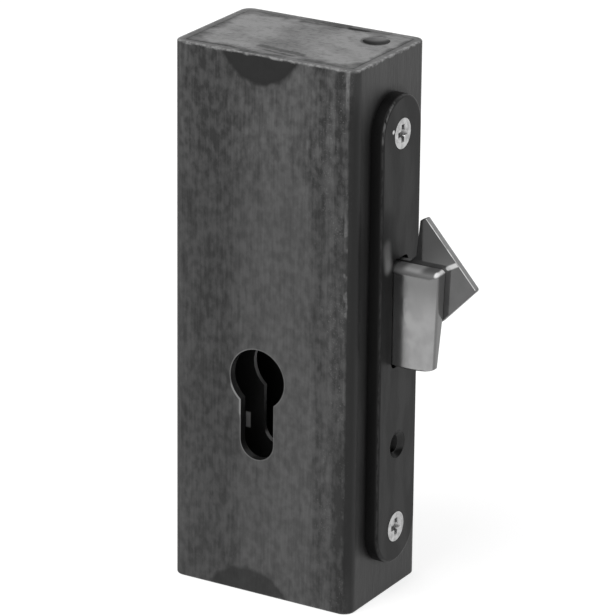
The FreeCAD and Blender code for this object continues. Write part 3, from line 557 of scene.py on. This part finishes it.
def scale_amount(tree, position, x, z):
    """Mill scale on the wide walls, from 0 where it is dark to 1 where it is light, and its height."""
    drift = mottle(tree, position, (9, 9, 30), 2.0, (0.6, 0, 0), 0.0, 1.0)
    wandered = times_plus(tree, drift, 7 * MM, minus(tree, x, 3.5 * MM))
    level = plus(tree, ramp_mm(tree, wandered, -12, -5, 0.2, 0.43), ramp_mm(tree, x, -3, 3, 0.0, 0.13))
    lower_left = times(tree, ramp_mm(tree, z, 44, 26, 0.0, 0.09), ramp_mm(tree, wandered, 2, -6))
    rear_edge = ramp_mm(tree, x, -19, -26, 0.0, 0.08)
    level = plus(tree, plus(tree, level, lower_left), rear_edge)
    fall = ramp_mm(tree, wandered, 15.5, 18.5, 0.0, 0.26)
    light_stripe = times(tree, band_mm(tree, x, 21.4, 22.8, 1.4), 0.14)
    level = plus(tree, minus(tree, level, fall), light_stripe)

    upper = ramp_mm(tree, z, 122, 136)
    dark_stripe = times(tree, band_mm(tree, x, 24.2, 25.9, 0.9), upper)
    level = minus(tree, level, times(tree, dark_stripe, 0.3))
    foot = times(tree, ramp_mm(tree, x, 23, 25.5), ramp_mm(tree, z, 66, 40))
    level = minus(tree, level, times(tree, foot, 0.22))
    scratch = reach(tree, position, *TOP_SCRATCH, ALONG_Y)
    level = minus(tree, level, ramp_mm(tree, scratch, 0.9, 0.2, 0.0, 0.22))

    streaks = mottle(tree, position, (0.8, 0.8, 12), 4.0, (0.3, 0, 0), 0.25, 0.75)
    blotches = mottle(tree, position, (2.1, 2.1, 3.0), 6.0, (0, 0.2, 0), 0.3, 0.7)
    patches = mottle(tree, position, (7, 7, 16), 3.0, (0.1, 0.2, 0.3), 0.3, 0.7)
    pattern = times_plus(tree, streaks, 0.26, times(tree, blotches, 0.46))
    pattern = times_plus(tree, patches, 0.14, pattern)
    restless = plus(tree, ramp_mm(tree, wandered, 12, 20, 0.75, 0.95), times(tree, upper, 0.35))
    swing = times(tree, minus(tree, pattern, 0.43), restless)
    return plus(tree, level, swing, clamp=True), plus(tree, streaks, blotches)


def corner_highlight_and_shade(tree, position, x, y, z):
    """Masks along the tube's long corners: a painted highlight line where the rounding starts, and a band of
    painted shade past it.
    """
    from_narrow = minus(tree, TUBE_HALF.x, magnitude(tree, x))
    from_wide = minus(tree, TUBE_HALF.y, magnitude(tree, y))
    waver = mottle(tree, position, (2, 2, 5), 2.0, (0.2, 0, 0.4), 0.0, 1.0)
    wavered = times_plus(tree, waver, 0.8 * MM, minus(tree, from_narrow, from_wide))
    line = band(tree, wavered, TUBE_ROUND - 0.6 * MM, TUBE_ROUND, 0.6 * MM)
    patches = mottle(tree, position, (2.2, 2.2, 3.6), 3.0, (0, 0, 0.7), 0.45, 0.62)
    grain = mottle(tree, position, (0.7, 0.7, 1.3), 3.0, (0.1, 0, 0), 0.35, 0.65)
    strength = times_plus(tree, band_mm(tree, z, 92, 112, 14), 0.6, 0.15)
    near_top = ramp(tree, z, TUBE_TOP - 16 * MM, TUBE_TOP - 3 * MM)
    strength = larger(tree, times(tree, strength, patches), near_top)
    strength = times(tree, strength, ramp_mm(tree, x, -10, 10, 0.1, 1.0))
    strength = times(tree, strength, times_plus(tree, grain, 0.5, 0.5))
    dark = band(tree, wavered, -TUBE_ROUND, 1.7 * MM, 1.3 * MM)
    return times(tree, line, strength), dark


def darken_round_forend(tree, position, z, to_end):
    """Painted shadow round the forend, and darker along the middle of the narrow wall and towards its foot.
    """
    to_forend = reach(tree, position, (0, 0, FOREND_LOW.z + FOREND_HALF), (0, 0, FOREND_HIGH.z - FOREND_HALF),
                      ALONG_X)
    darkening = ramp(tree, to_forend, FOREND_HALF + 3 * MM, FOREND_HALF)
    darkening = larger(tree, darkening, ramp_mm(tree, to_end, 76, 58, 0.0, 0.56))
    return larger(tree, darkening, ramp_mm(tree, z, 22, 12, 0.0, 0.5))


def speck_mask(tree, position, x, on_forend_side):
    """Bright specks, which crowd towards the forend."""
    specks = mottle(tree, position, (0.42, 0.42, 0.55), 2.0, (0.1, 0.4, 0), 0.6, 0.7)
    crowd = times(tree, ramp_mm(tree, x, 13, 25, 0.12, 1.0),
                  mottle(tree, position, (6, 6, 22), 2.0, (0.3, 0.3, 0), 0.38, 0.62))
    return times(tree, times(tree, specks, crowd), inverse(tree, on_forend_side))


def add_keyhole_rim(tree, base, position, x, on_wide, sizes, colours):
    """A painted highlight round the keyhole, brightest at its neck, and painted shade on the cut through the
    wall.
    """
    neck = ramp_mm(tree, reach(tree, position, *KEYHOLE_NECK, ALONG_Y), 3.5, 1.2)
    widened = times_plus(tree, neck, -0.3 * MM, keyhole_outline(tree, position, sizes))
    rim = ramp(tree, widened, sizes.keyhole_rim, sizes.keyhole_rim * 0.3)
    shone = ramp(tree, x, KEYHOLE_CENTRE.x + 4 * MM, KEYHOLE_CENTRE.x - 5 * MM, 0.25, 0.5)
    shone = larger(tree, shone, neck)
    # Painted highlight round the keyhole, then painted shade on its cut wall
    base = blend(tree, times(tree, times(tree, rim, on_wide), shone), base, colours.bare_steel_and_highlight)
    return blend(tree, times(tree, rim, inverse(tree, on_wide)), base, colours.dark_inside_and_shade)


def add_ground_ends(tree, base, position, z, nz, to_end, depth, sizes, colours):
    """The tube's ends, ground with the plates, and the worn line below them."""
    ground = ground_face(tree, position, sizes, colours)
    chips = mottle(tree, position, (2.0, 2.0, 1.3), 4.0, (0, 0, 0.2), 0.2, 0.8)
    blobs = mottle(tree, position, (1.3, 1.3, 1.3), 2.0, (0.3, 0, 0.2), 0.35, 0.62)
    worn_down = times_plus(tree, chips, sizes.end_rim * 0.6, to_end)
    end_wear = ramp(tree, worn_down, TUBE_HALF.z - sizes.end_rim * 0.25, TUBE_HALF.z + sizes.end_rim * 0.35)
    end_wear = times(tree, end_wear, times_plus(tree, blobs, 0.45, 0.3))
    end_wear = times(tree, end_wear, ramp(tree, z, 0, TUBE_TOP, 0.3, 1.0))
    outermost = ramp_mm(tree, times_plus(tree, chips, -sizes.end_rim * 0.8, depth), 0.7, -0.2)
    outermost = times(tree, outermost, times_plus(tree, blobs, 0.5, 0.1))
    flat_end = times(tree, ramp(tree, magnitude(tree, nz), 0.6, 0.9),
                     ramp(tree, to_end, TUBE_HALF.z - 0.8 * MM, TUBE_HALF.z - 0.3 * MM))
    base = blend(tree, end_wear, base, colours.worn_rim)
    return blend(tree, flat_end, base, blend(tree, outermost, ground["Color"], colours.worn_rim))


def tube_material(sizes, colours):
    """Mill scale with drawn-out streaks, heat marks, ground ends and a dark inside, with painted highlights
    along the corners and round the keyhole, and painted shade past the corners, round the forend and on the
    keyhole's cut wall.
    """
    material, tree, shader = new_material("tube_mill_scale", specular=0.25)
    position = object_position(tree)
    x, y, z = split(tree, position)
    nx, ny, nz = split(tree, object_normal(tree))
    on_wide = ramp(tree, magnitude(tree, ny), 0.6, 0.9)
    on_forend_side = ramp(tree, nx, 0.6, 0.9)
    to_end = magnitude(tree, minus(tree, z, TUBE_CENTRE.z))

    wide, height = scale_amount(tree, position, x, z)
    calm_clouds = mottle(tree, position, (4, 4, 18), 4.0, (0.5, 0, 0), 0.25, 0.75)
    narrow = times_plus(tree, calm_clouds, 0.2, 0.12)
    scale = add(tree, "ShaderNodeMix", {0: on_wide, 2: narrow, 3: wide}, data_type="FLOAT").outputs[0]
    base = blend(tree, scale, colours.scale_dark, colours.scale_light)

    # Painted shadow round the forend, and a darker middle and foot of the narrow wall
    darkening = times(tree, darken_round_forend(tree, position, z, to_end), on_forend_side)
    base = blend(tree, darkening, base, colours.dark_inside_and_shade)
    specks = speck_mask(tree, position, x, on_forend_side)
    base = blend(tree, times(tree, specks, 0.4), base, colours.bare_steel_and_highlight)

    # Painted shade past the corners, and a painted highlight line on them
    line, corner_shade = corner_highlight_and_shade(tree, position, x, y, z)
    near_end = larger(tree, ramp_mm(tree, to_end, 66, 80, 0.85, 0.25), ramp_mm(tree, x, 10, -10))
    base = blend(tree, times(tree, corner_shade, near_end), base, colours.dark_inside_and_shade)
    base = blend(tree, times(tree, line, 0.8), base, colours.bare_steel_and_highlight)

    top_moon = heat_moon(tree, position, TOP_MARK_X, TUBE_TOP, 1, sizes.top_mark_width, sizes.top_mark_depth)
    foot_moon = heat_moon(tree, position, FOOT_MARK_X, 0.0, -1, sizes.foot_mark_width, sizes.foot_mark_depth)
    moons = larger(tree, top_moon, times(tree, foot_moon, FOOT_MARK_STRENGTH))
    base = blend(tree, times(tree, moons, on_wide), base, colours.heat_mark)

    base = add_keyhole_rim(tree, base, position, x, on_wide, sizes, colours)
    depth = depth_inside(tree, x, y)
    base = blend(tree, ramp(tree, depth, 0.3 * MM, sizes.wall / 2), base, colours.dark_inside_and_shade)
    base = add_ground_ends(tree, base, position, z, nz, to_end, depth, sizes, colours)

    roughness = ramp(tree, scale, 0.0, 1.0, 0.42, 0.56)
    finish_shader(tree, shader, base, roughness, height, 0.02 * MM)
    return material


def plate_material(sizes, colours):
    """Ground plate with crossing lines, tarnish, weld scars and a stained vent hole, with painted shade deep
    in the hole.
    """
    material, tree, shader = new_material("plate_ground", specular=0.2)
    position = object_position(tree)
    x, y, z = split(tree, position)
    ground = ground_face(tree, position, sizes, colours)
    from_vent = minus(tree, reach(tree, position, VENT_CENTRE, VENT_CENTRE, ALONG_Z), VENT_RADIUS)
    vent_x, vent_y, _ = VENT_CENTRE
    one_side = larger(tree, ramp(tree, x, vent_x + 2 * MM, vent_x - 3 * MM, 0.1, 1.0),
                      ramp(tree, y, vent_y + 1 * MM, vent_y - 3 * MM))
    stain = times(tree, ramp_mm(tree, from_vent, 0.9, 0.2, 0.0, 0.8), one_side)
    base = blend(tree, stain, ground["Color"], colours.heat_mark)
    wall = ramp_mm(tree, from_vent, 0.12, 0.02)
    base = blend(tree, wall, base, colours.worn_rim)

    # Painted shade deep in the vent hole, whose upper limit follows the near rim as the camera sees it
    to_end = magnitude(tree, minus(tree, z, TUBE_CENTRE.z))
    slope_x, slope_y = VENT_SHADE_SLOPE
    across = times_plus(tree, x, slope_x, times(tree, y, slope_y))
    deep = plus(tree, to_end, minus(tree, across, slope_y * vent_y + slope_x * vent_x))
    deep = ramp(tree, deep, TUBE_HALF.z + 1.6 * MM, TUBE_HALF.z + 0.6 * MM)
    base = blend(tree, times(tree, wall, deep), base, colours.spring)
    finish_shader(tree, shader, base, ground["Roughness"], ground["Height"], 0.01 * MM)
    return material


def weld_material(sizes, colours):
    """Weld metal ground with the plate, with a few pores."""
    material, tree, shader = new_material("weld_ground", specular=0.2)
    position = object_position(tree)
    ground = ground_face(tree, position, sizes, colours)
    pores = mottle(tree, position, (0.5, 0.5, 0.5), 2.0, low=0.64, high=0.72)
    base = blend(tree, times(tree, pores, 0.7), ground["Color"], colours.heat_mark)
    height = minus(tree, times(tree, ground["Height"], 0.2), pores)
    finish_shader(tree, shader, base, ground["Roughness"], height, 0.04 * MM)
    return material


# Finishes of the forend, its screws and the lock


def add_screw_hole(tree, base, position, x, z, sizes, colours):
    """The cylinder screw's countersink, darkened as painted shade, lit below and made dark and metallic above
    as painted shade, and its bore.
    """
    middle = (0, 0, KEYHOLE_FOOT_Z)
    from_bore = reach(tree, position, middle, middle, ALONG_X)
    sink = times(tree, ramp(tree, from_bore, sizes.screw_sink + 0.1 * MM, sizes.screw_sink),
                 ramp(tree, x, FOREND_HIGH.x - 0.02 * MM, FOREND_HIGH.x - 0.15 * MM))
    # Painted shade in the countersink
    base = blend(tree, sink, base, colours.forend_dark_and_shade)
    low, high = KEYHOLE_FOOT_Z - 2.8 * MM, KEYHOLE_FOOT_Z - 1.4 * MM
    base = blend(tree, times(tree, sink, ramp(tree, z, low, high, 0.0, 0.16)), base, colours.bare_steel_and_highlight)
    bore = ramp(tree, from_bore, sizes.screw_bore + 0.2 * MM, sizes.screw_bore)
    base = blend(tree, times(tree, bore, 0.12), base, colours.bare_steel_and_highlight)
    return base, times(tree, sink, ramp(tree, z, high, low))


def forend_material(sizes, colours):
    """Semi-gloss black with a worn rim, painted shade on its sides, beside the bolt and in a countersink, a
    lighter patch beside the bolt, and painted highlights on the rim's upper left and beside a screw.
    """
    material, tree, shader = new_material("forend_black", specular=0.12)
    position = object_position(tree)
    x, y, z = split(tree, position)
    nx = split(tree, object_normal(tree))[0]
    skin = mottle(tree, position, (0.9, 0.9, 1.2), 3.0, low=0.2, high=0.8)
    clouds = mottle(tree, position, (6, 6, 22), 3.0, (0.2, 0, 0))
    face = blend(tree, times(tree, clouds, 0.3), colours.forend, colours.forend_dark_and_shade)
    # Painted shade on the forend's sides
    base = blend(tree, ramp(tree, nx, 0.35, 0.95), colours.forend_dark_and_shade, face)

    # Painted shade on the face beside the bolt
    to_bolt = reach(tree, position, (0, 0, BLOCK_LOW.z + 2 * MM), (0, 0, BLOCK_HIGH.z - 2 * MM), ALONG_X)
    base = blend(tree, ramp_mm(tree, to_bolt, 9, 5.4, 0.0, 0.4), base, colours.forend_dark_and_shade)
    # A lighter patch on the face beside the bolt
    lighter_patch = ramp_mm(tree, reach(tree, position, *BOLT_LIGHT_PATCH), 3.2, 0.4)
    lighter_patch = times(tree, lighter_patch, mottle(tree, position, (2.4, 2.4, 3.4), 3.0, low=0.1, high=0.5))
    lighter_patch = times(tree, lighter_patch, ramp_mm(tree, z, 112, 104, 0.4, 0.95))
    base = blend(tree, lighter_patch, base, colours.bare_steel_and_highlight)

    # Worn rim, with a painted highlight added on its upper left
    edge = times(tree, ramp(tree, nx, 0.3, 0.55), ramp(tree, nx, 0.97, 0.8))
    upper_left = times(tree, ramp(tree, z, FOREND_HIGH.z - 16 * MM, FOREND_HIGH.z - 8 * MM),
                       ramp_mm(tree, y, -3, -8))
    lightened = times_plus(tree, upper_left, 0.5, 0.1)
    chips = mottle(tree, position, (0.8, 0.8, 2.5), 3.0, (0, 0.1, 0), 0.35, 0.65)
    base = blend(tree, times(tree, times(tree, edge, lightened), chips), base, colours.bare_steel_and_highlight)
    # A painted highlight beside the upper screw
    screw_glint = ramp_mm(tree, reach(tree, position, SCREW_GLINT, SCREW_GLINT), 0.75, 0.4)
    base = blend(tree, screw_glint, base, colours.painted_glint)

    base, sink_shade = add_screw_hole(tree, base, position, x, z, sizes, colours)
    # Metallic dark upper countersink, as painted shade
    give(tree, shader.inputs["Metallic"], sink_shade)
    roughness = ramp(tree, clouds, 0.0, 1.0, 0.36, 0.46)
    finish_shader(tree, shader, base, roughness, skin, 0.006 * MM)
    return material


def zinc_material(colours):
    """Bright zinc plate with faint cloudy patches and small dull specks."""
    material, tree, shader = new_material("zinc_plate", metallic=0.85)
    position = object_position(tree)
    clouds = mottle(tree, position, (1.6, 1.6, 1.6), 4.0)
    specks = mottle(tree, position, (0.35, 0.35, 0.35), 2.0, low=0.6, high=0.7)
    base = blend(tree, times(tree, clouds, 0.4), colours.zinc, colours.plate)
    base = blend(tree, times(tree, specks, 0.5), base, colours.spring)
    roughness = ramp(tree, clouds, 0.0, 1.0, 0.28, 0.45)
    finish_shader(tree, shader, base, roughness, clouds, 0.01 * MM)
    return material


def case_material(colours):
    """Dark sheet, bright on its cut edge round the keyhole, with a grey mark behind the slot."""
    material, tree, shader = new_material("case_sheet", specular=0.3)
    position = object_position(tree)
    x, y, z = split(tree, position)
    ny = split(tree, object_normal(tree))[1]
    clouds = mottle(tree, position, (5, 5, 9), 3.0)
    sheet = blend(tree, clouds, colours.case_sheet, colours.dark_inside_and_shade)
    cut_edge = inverse(tree, ramp(tree, magnitude(tree, ny), 0.3, 0.8))
    near_keyhole = ramp_mm(tree, reach(tree, position, KEYHOLE_CENTRE, KEYHOLE_CENTRE, ALONG_Y), 26, 22)
    fading = ramp(tree, z, KEYHOLE_CENTRE.z - 9 * MM, KEYHOLE_CENTRE.z - 1 * MM, 0.04, 1.0)
    foot = ramp_mm(tree, reach(tree, position, CASE_FOOT, CASE_FOOT, ALONG_Y), 2.4, 1.0)
    bright = times(tree, times(tree, cut_edge, near_keyhole), larger(tree, fading, foot))
    base = blend(tree, bright, sheet, colours.bare_steel_and_highlight)
    mark = times(tree, band_mm(tree, x, *COVER_MARK_X, 0.4), band_mm(tree, z, *COVER_MARK_Z, 0.6))
    mark = times(tree, mark, ramp(tree, y, COVER_FRONT + 0.3 * MM, COVER_FRONT + 0.1 * MM))
    base = blend(tree, mark, base, colours.zinc)
    roughness = ramp(tree, clouds, 0.0, 1.0, 0.4, 0.55)
    finish_shader(tree, shader, base, roughness, clouds, 0.01 * MM)
    return material


def block_material(colours):
    """Bright plate over a fine cast skin, duller on its crown and nose, with painted shade on its upper part,
    a painted dark reflection on its crown, a lighter spot on the crown and a painted highlight along the
    nose's top edge.
    """
    material, tree, shader = new_material("block_nickel")
    position = object_position(tree)
    z = split(tree, position)[2]
    _, ny, nz = split(tree, object_normal(tree))
    grain = mottle(tree, position, (0.6, 0.6, 0.6), 3.0, low=0.2, high=0.8)
    clouds = mottle(tree, position, (4, 4, 5), 4.0, (0.3, 0.3, 0))
    base = blend(tree, times(tree, clouds, 0.3), colours.nickel, colours.nickel_dark_and_shade)
    # Painted shade on the block's upper part
    upper = ramp(tree, z, BLOCK_HIGH.z - 16 * MM, BLOCK_HIGH.z - 3 * MM, 0.0, 0.95)
    base = blend(tree, upper, base, colours.nickel_dark_and_shade)

    cast = larger(tree, ramp(tree, magnitude(tree, ny), 0.6, 0.35), ramp(tree, nz, 0.2, 0.6))
    base = blend(tree, cast, base, colours.cast)
    crown = ramp(tree, nz, 0.05, 0.4)
    # Painted reflection of dark surroundings on the crown
    base = blend(tree, times(tree, crown, 0.7), base, colours.spring)
    # A lighter spot on the crown
    lightened = ramp_mm(tree, reach(tree, position, CROWN_SPOT, CROWN_SPOT, ALONG_Y), 4.0, 1.5)
    lightened = times(tree, lightened, ramp(tree, nz, 0.5, 0.95))
    base = blend(tree, times(tree, lightened, 0.6), base, colours.zinc)
    # A painted highlight along the nose's top edge
    ragged = mottle(tree, position, (1.5, 1.5, 1.5), 3.0, low=0.0, high=1.0)
    to_nose = times_plus(tree, ragged, 0.4 * MM, reach(tree, position, NOSE_EDGE, NOSE_EDGE, ALONG_Y))
    polished_and_glint = ramp_mm(tree, to_nose, 1.1, 0.5)
    base = blend(tree, polished_and_glint, base, colours.painted_glint)
    metallic = times(tree, ramp(tree, cast, 0.0, 1.0, 0.9, 0.25), inverse(tree, polished_and_glint))
    give(tree, shader.inputs["Metallic"], metallic)
    roughness = times_plus(tree, crown, 0.35, ramp(tree, clouds, 0.0, 1.0, 0.13, 0.2))
    finish_shader(tree, shader, base, roughness, grain, 0.0035 * MM)
    return material


def hook_material(colours):
    """Polished plate with faint draw lines and blanked edges, with painted shade on its upper part, a painted
    highlight along its upper edge and a painted reflection of the block's nose beside it.
    """
    material, tree, shader = new_material("hook_polished")
    position = object_position(tree)
    x, _, z = split(tree, position)
    nx, ny, nz = split(tree, object_normal(tree))
    flat = magnitude(tree, ny)
    lines = mottle(tree, position, (9, 0.3, 0.25), 4.0, low=0.2, high=0.8)
    clouds = mottle(tree, position, (6, 6, 6), 3.0, (0, 0, 0.5))
    base = blend(tree, times(tree, clouds, 0.25), colours.hook, colours.hook_dark_and_shade)
    # Painted shade on the hook's upper part
    rise = times_plus(tree, x, -0.8, z)
    base = blend(tree, ramp_mm(tree, rise, 62, 76, 0.0, 0.9), base, colours.hook_dark_and_shade)

    stripes = mottle(tree, position, (0.5, 4, 0.5), 3.0, low=0.2, high=0.8)
    edge = ramp(tree, flat, 0.5, 0.25)
    edge_colour = blend(tree, times(tree, stripes, 0.4), colours.blanked_edge, colours.spring)
    base = blend(tree, edge, base, edge_colour)
    # Painted highlight along the hook's upper edge
    glint_mask = times(tree, ramp(tree, flat, 0.35, 0.5), ramp(tree, flat, 0.97, 0.9))
    upper_edge = times(tree, ramp(tree, nx, 0.05, 0.3), ramp(tree, nz, 0.05, 0.3))
    glint_patches = mottle(tree, position, (2.5, 2.5, 2.5), 3.0, low=0.2, high=0.7)
    glint_mask = times(tree, times(tree, glint_mask, upper_edge), times_plus(tree, glint_patches, 0.6, 0.4))
    # Painted reflection of the nose's highlight
    streak = ramp_mm(tree, reach(tree, position, *HOOK_STREAK, ALONG_Y), 0.9, 0.35)
    streak = times(tree, streak, ramp(tree, ny, -0.97, -0.995))
    glint_mask = larger(tree, glint_mask, times(tree, streak, 0.7))
    base = blend(tree, glint_mask, base, colours.painted_glint)
    metallic = minus(tree, 0.55, times(tree, larger(tree, edge, glint_mask), 0.3))
    give(tree, shader.inputs["Metallic"], metallic)
    roughness = plus(tree, ramp(tree, lines, 0.0, 1.0, 0.05, 0.1), times(tree, edge, 0.3))
    finish_shader(tree, shader, base, roughness, lines, 0.0006 * MM)
    return material


def pin_material(colours):
    """Turned bright steel with fine rings round its axis."""
    material, tree, shader = new_material("pin_bright", metallic=1.0)
    rings = mottle(tree, object_position(tree), (3, 0.15, 3), 3.0, low=0.2, high=0.8)
    base = blend(tree, times(tree, rings, 0.3), colours.pin, colours.spring)
    roughness = ramp(tree, rings, 0.0, 1.0, 0.25, 0.4)
    finish_shader(tree, shader, base, roughness, rings, 0.004 * MM)
    return material


def spring_material(colours):
    """Blued spring steel with a soft temper bloom."""
    material, tree, shader = new_material("spring_blued", metallic=0.9)
    bloom = mottle(tree, object_position(tree), (3, 3, 3), 4.0)
    base = blend(tree, times(tree, bloom, 0.4), colours.spring, colours.pin)
    roughness = ramp(tree, bloom, 0.0, 1.0, 0.28, 0.4)
    finish_shader(tree, shader, base, roughness, bloom, 0.003 * MM)
    return material


# Operators


class GATELOCK_OT_box(bpy.types.Operator):
    """Give the welded box its mill scale, ground plates and welds"""
    bl_idname = "gatelock.box"
    bl_label = "Finish the box"

    def execute(self, context):
        settings = context.scene.gate_lock
        sizes, colours = settings.sizes, settings.colours
        make_shared_groups()
        paint(tube_material(sizes, colours), "box_tube", "weld_nuts")
        paint(plate_material(sizes, colours), "top_end_plate", "bottom_end_plate")
        paint(weld_material(sizes, colours), "end_plate_welds")
        return {"FINISHED"}


class GATELOCK_OT_forend(bpy.types.Operator):
    """Give the forend its black coat, and its screws and the zinc-plated parts their zinc"""
    bl_idname = "gatelock.forend"
    bl_label = "Finish the forend"

    def execute(self, context):
        settings = context.scene.gate_lock
        make_shared_groups()
        paint(forend_material(settings.sizes, settings.colours), "forend")
        paint(zinc_material(settings.colours), "forend_screws", "cover_screws", "case_pillars", "bolt_tail",
              "driver_lever")
        return {"FINISHED"}


class GATELOCK_OT_bolt(bpy.types.Operator):
    """Give the bolt's block and the hook their plated and polished finish"""
    bl_idname = "gatelock.bolt"
    bl_label = "Finish the bolt and hook"

    def execute(self, context):
        settings = context.scene.gate_lock
        make_shared_groups()
        paint(block_material(settings.colours), "bolt_block")
        polished_and_glint = hook_material(settings.colours)
        paint(polished_and_glint, "hook_plate")
        hook = rounded_copy("hook_plate", "hook_plate_rounded", settings.sizes.hook_edge,
                            "hook")
        hook.data.materials.clear()
        hook.data.materials.append(polished_and_glint)
        return {"FINISHED"}


class GATELOCK_OT_inside(bpy.types.Operator):
    """Give the lock case and the parts in it their finish"""
    bl_idname = "gatelock.inside"
    bl_label = "Finish the inside"

    def execute(self, context):
        colours = context.scene.gate_lock.colours
        make_shared_groups()
        paint(case_material(colours), "lock_case", "lock_cover")
        paint(pin_material(colours), "hook_guide_pin", "bolt_guide_stud", "lever_pivot_pin", "lever_spacers",
              "spring_rivet", "bolt_rivets", "hook_pivot_pin", "driver_pin")
        paint(spring_material(colours), "detent_spring", "hook_retaining_ring")
        return {"FINISHED"}


def camera_matrix(studio):
    """Where the photograph was taken from: the camera's axes and its place."""
    azimuth, elevation, roll = studio.azimuth, studio.elevation, studio.roll
    back = Vector((math.sin(azimuth) * math.cos(elevation), -math.cos(azimuth) * math.cos(elevation),
                   math.sin(elevation)))
    level = Vector((math.cos(azimuth), math.sin(azimuth), 0))
    upright = back.cross(level)
    right = math.cos(roll) * level + math.sin(roll) * upright
    up = math.cos(roll) * upright - math.sin(roll) * level
    place = TUBE_CENTRE + studio.aside * right + studio.lift * up + studio.distance * back
    return Matrix.Translation(place) @ Matrix((right, up, back)).transposed().to_4x4()


def seen_plainly(tree):
    """1 for the rays that show the background itself: straight, mirrored or through glass."""
    path = add(tree, "ShaderNodeLightPath").outputs
    mirrored = larger(tree, path["Is Glossy Ray"], path["Is Transmission Ray"])
    return larger(tree, path["Is Camera Ray"], mirrored)


def floor_material(studio):
    """Pale floor, lifted to white where it is seen, that keeps the object's shadow."""
    material = bpy.data.materials.new("studio_floor")
    tree = clean_tree(material)
    plain = add(tree, "ShaderNodeBsdfDiffuse", {"Color": (studio.floor, studio.floor, studio.floor)})
    shadow_part = add(tree, "ShaderNodeBsdfDiffuse", {"Color": FLOOR_SHADOW})
    glow = add(tree, "ShaderNodeEmission", {"Color": WHITE, "Strength": FLOOR_GLOW})
    lifted = add(tree, "ShaderNodeAddShader", {0: shadow_part.outputs[0], 1: glow.outputs[0]})
    both = add(tree, "ShaderNodeMixShader",
               {0: seen_plainly(tree), 1: plain.outputs[0], 2: lifted.outputs[0]})
    add(tree, "ShaderNodeOutputMaterial", {"Surface": both.outputs[0]})
    return material


def make_floor(studio):
    shape = bmesh.new()
    bmesh.ops.create_grid(shape, x_segments=1, y_segments=1, size=FLOOR_HALF)
    bmesh.ops.translate(shape, verts=shape.verts, vec=(0, 0, -FLOOR_DROP))
    floor = object_from(shape, "studio_floor")
    floor.data.materials.append(floor_material(studio))


def make_room(studio):
    """A white room: soft light all round, and white where it is seen."""
    world = bpy.data.worlds.new("studio_room")
    tree = clean_tree(world)
    soft = add(tree, "ShaderNodeBackground", {"Color": WHITE, "Strength": studio.room})
    white = add(tree, "ShaderNodeBackground", {"Color": WHITE, "Strength": 1.0})
    both = add(tree, "ShaderNodeMixShader", {0: seen_plainly(tree), 1: soft.outputs[0], 2: white.outputs[0]})
    add(tree, "ShaderNodeOutputWorld", {"Surface": both.outputs[0]})
    bpy.context.scene.world = world


def make_lamp(name, place, size, power):
    """A square soft box that looks at the middle of the lock."""
    light = bpy.data.lights.new(name, "AREA")
    light.shape = "SQUARE"
    light.size = size
    light.energy = power
    lamp = bpy.data.objects.new(name, light)
    lamp.location = place
    lamp.rotation_euler = (TUBE_CENTRE - Vector(place)).to_track_quat("-Z", "Y").to_euler()
    bpy.context.scene.collection.objects.link(lamp)


def make_camera(studio):
    data = bpy.data.cameras.new("photo_camera")
    data.sensor_fit = "HORIZONTAL"
    data.sensor_width = SENSOR_WIDTH_MM
    data.lens = studio.lens
    data.clip_start = NEAR_CLIP
    camera = bpy.data.objects.new("photo_camera", data)
    camera.matrix_world = camera_matrix(studio)
    bpy.context.scene.collection.objects.link(camera)
    bpy.context.scene.camera = camera


class GATELOCK_OT_studio(bpy.types.Operator):
    """Add the floor, the soft light and the camera"""
    bl_idname = "gatelock.studio"
    bl_label = "Set up the studio"

    def execute(self, context):
        studio = context.scene.gate_lock.studio
        make_floor(studio)
        make_room(studio)
        make_lamp("key_lamp", KEY_PLACE, KEY_SIZE, studio.key)
        make_lamp("rim_lamp", RIM_PLACE, RIM_SIZE, studio.rim)
        make_camera(studio)
        context.scene.view_settings.view_transform = "Standard"
        return {"FINISHED"}


class GATELOCK_PT_panel(bpy.types.Panel):
    """Buttons for each step of dressing the lock"""
    bl_idname = "GATELOCK_PT_panel"
    bl_label = "Gate lock"
    bl_space_type = "VIEW_3D"
    bl_region_type = "UI"
    bl_category = "Gate lock"

    def draw(self, context):
        for step in STEPS:
            self.layout.operator(step.bl_idname)


STEPS = (GATELOCK_OT_box, GATELOCK_OT_forend, GATELOCK_OT_bolt, GATELOCK_OT_inside, GATELOCK_OT_studio)
SETTINGS = (GateLockSizes, GateLockColours, GateLockStudio, GateLockSettings)
CLASSES = SETTINGS + STEPS + (GATELOCK_PT_panel,)


def register():
    for cls in CLASSES:
        bpy.utils.register_class(cls)
    bpy.types.Scene.gate_lock = PointerProperty(type=GateLockSettings)


def unregister():
    del bpy.types.Scene.gate_lock
    for cls in reversed(CLASSES):
        bpy.utils.unregister_class(cls)


def main():
    register()
    bpy.ops.gatelock.box()
    bpy.ops.gatelock.forend()
    bpy.ops.gatelock.bolt()
    bpy.ops.gatelock.inside()
    bpy.ops.gatelock.studio()


if __name__ == "__main__":
    main()
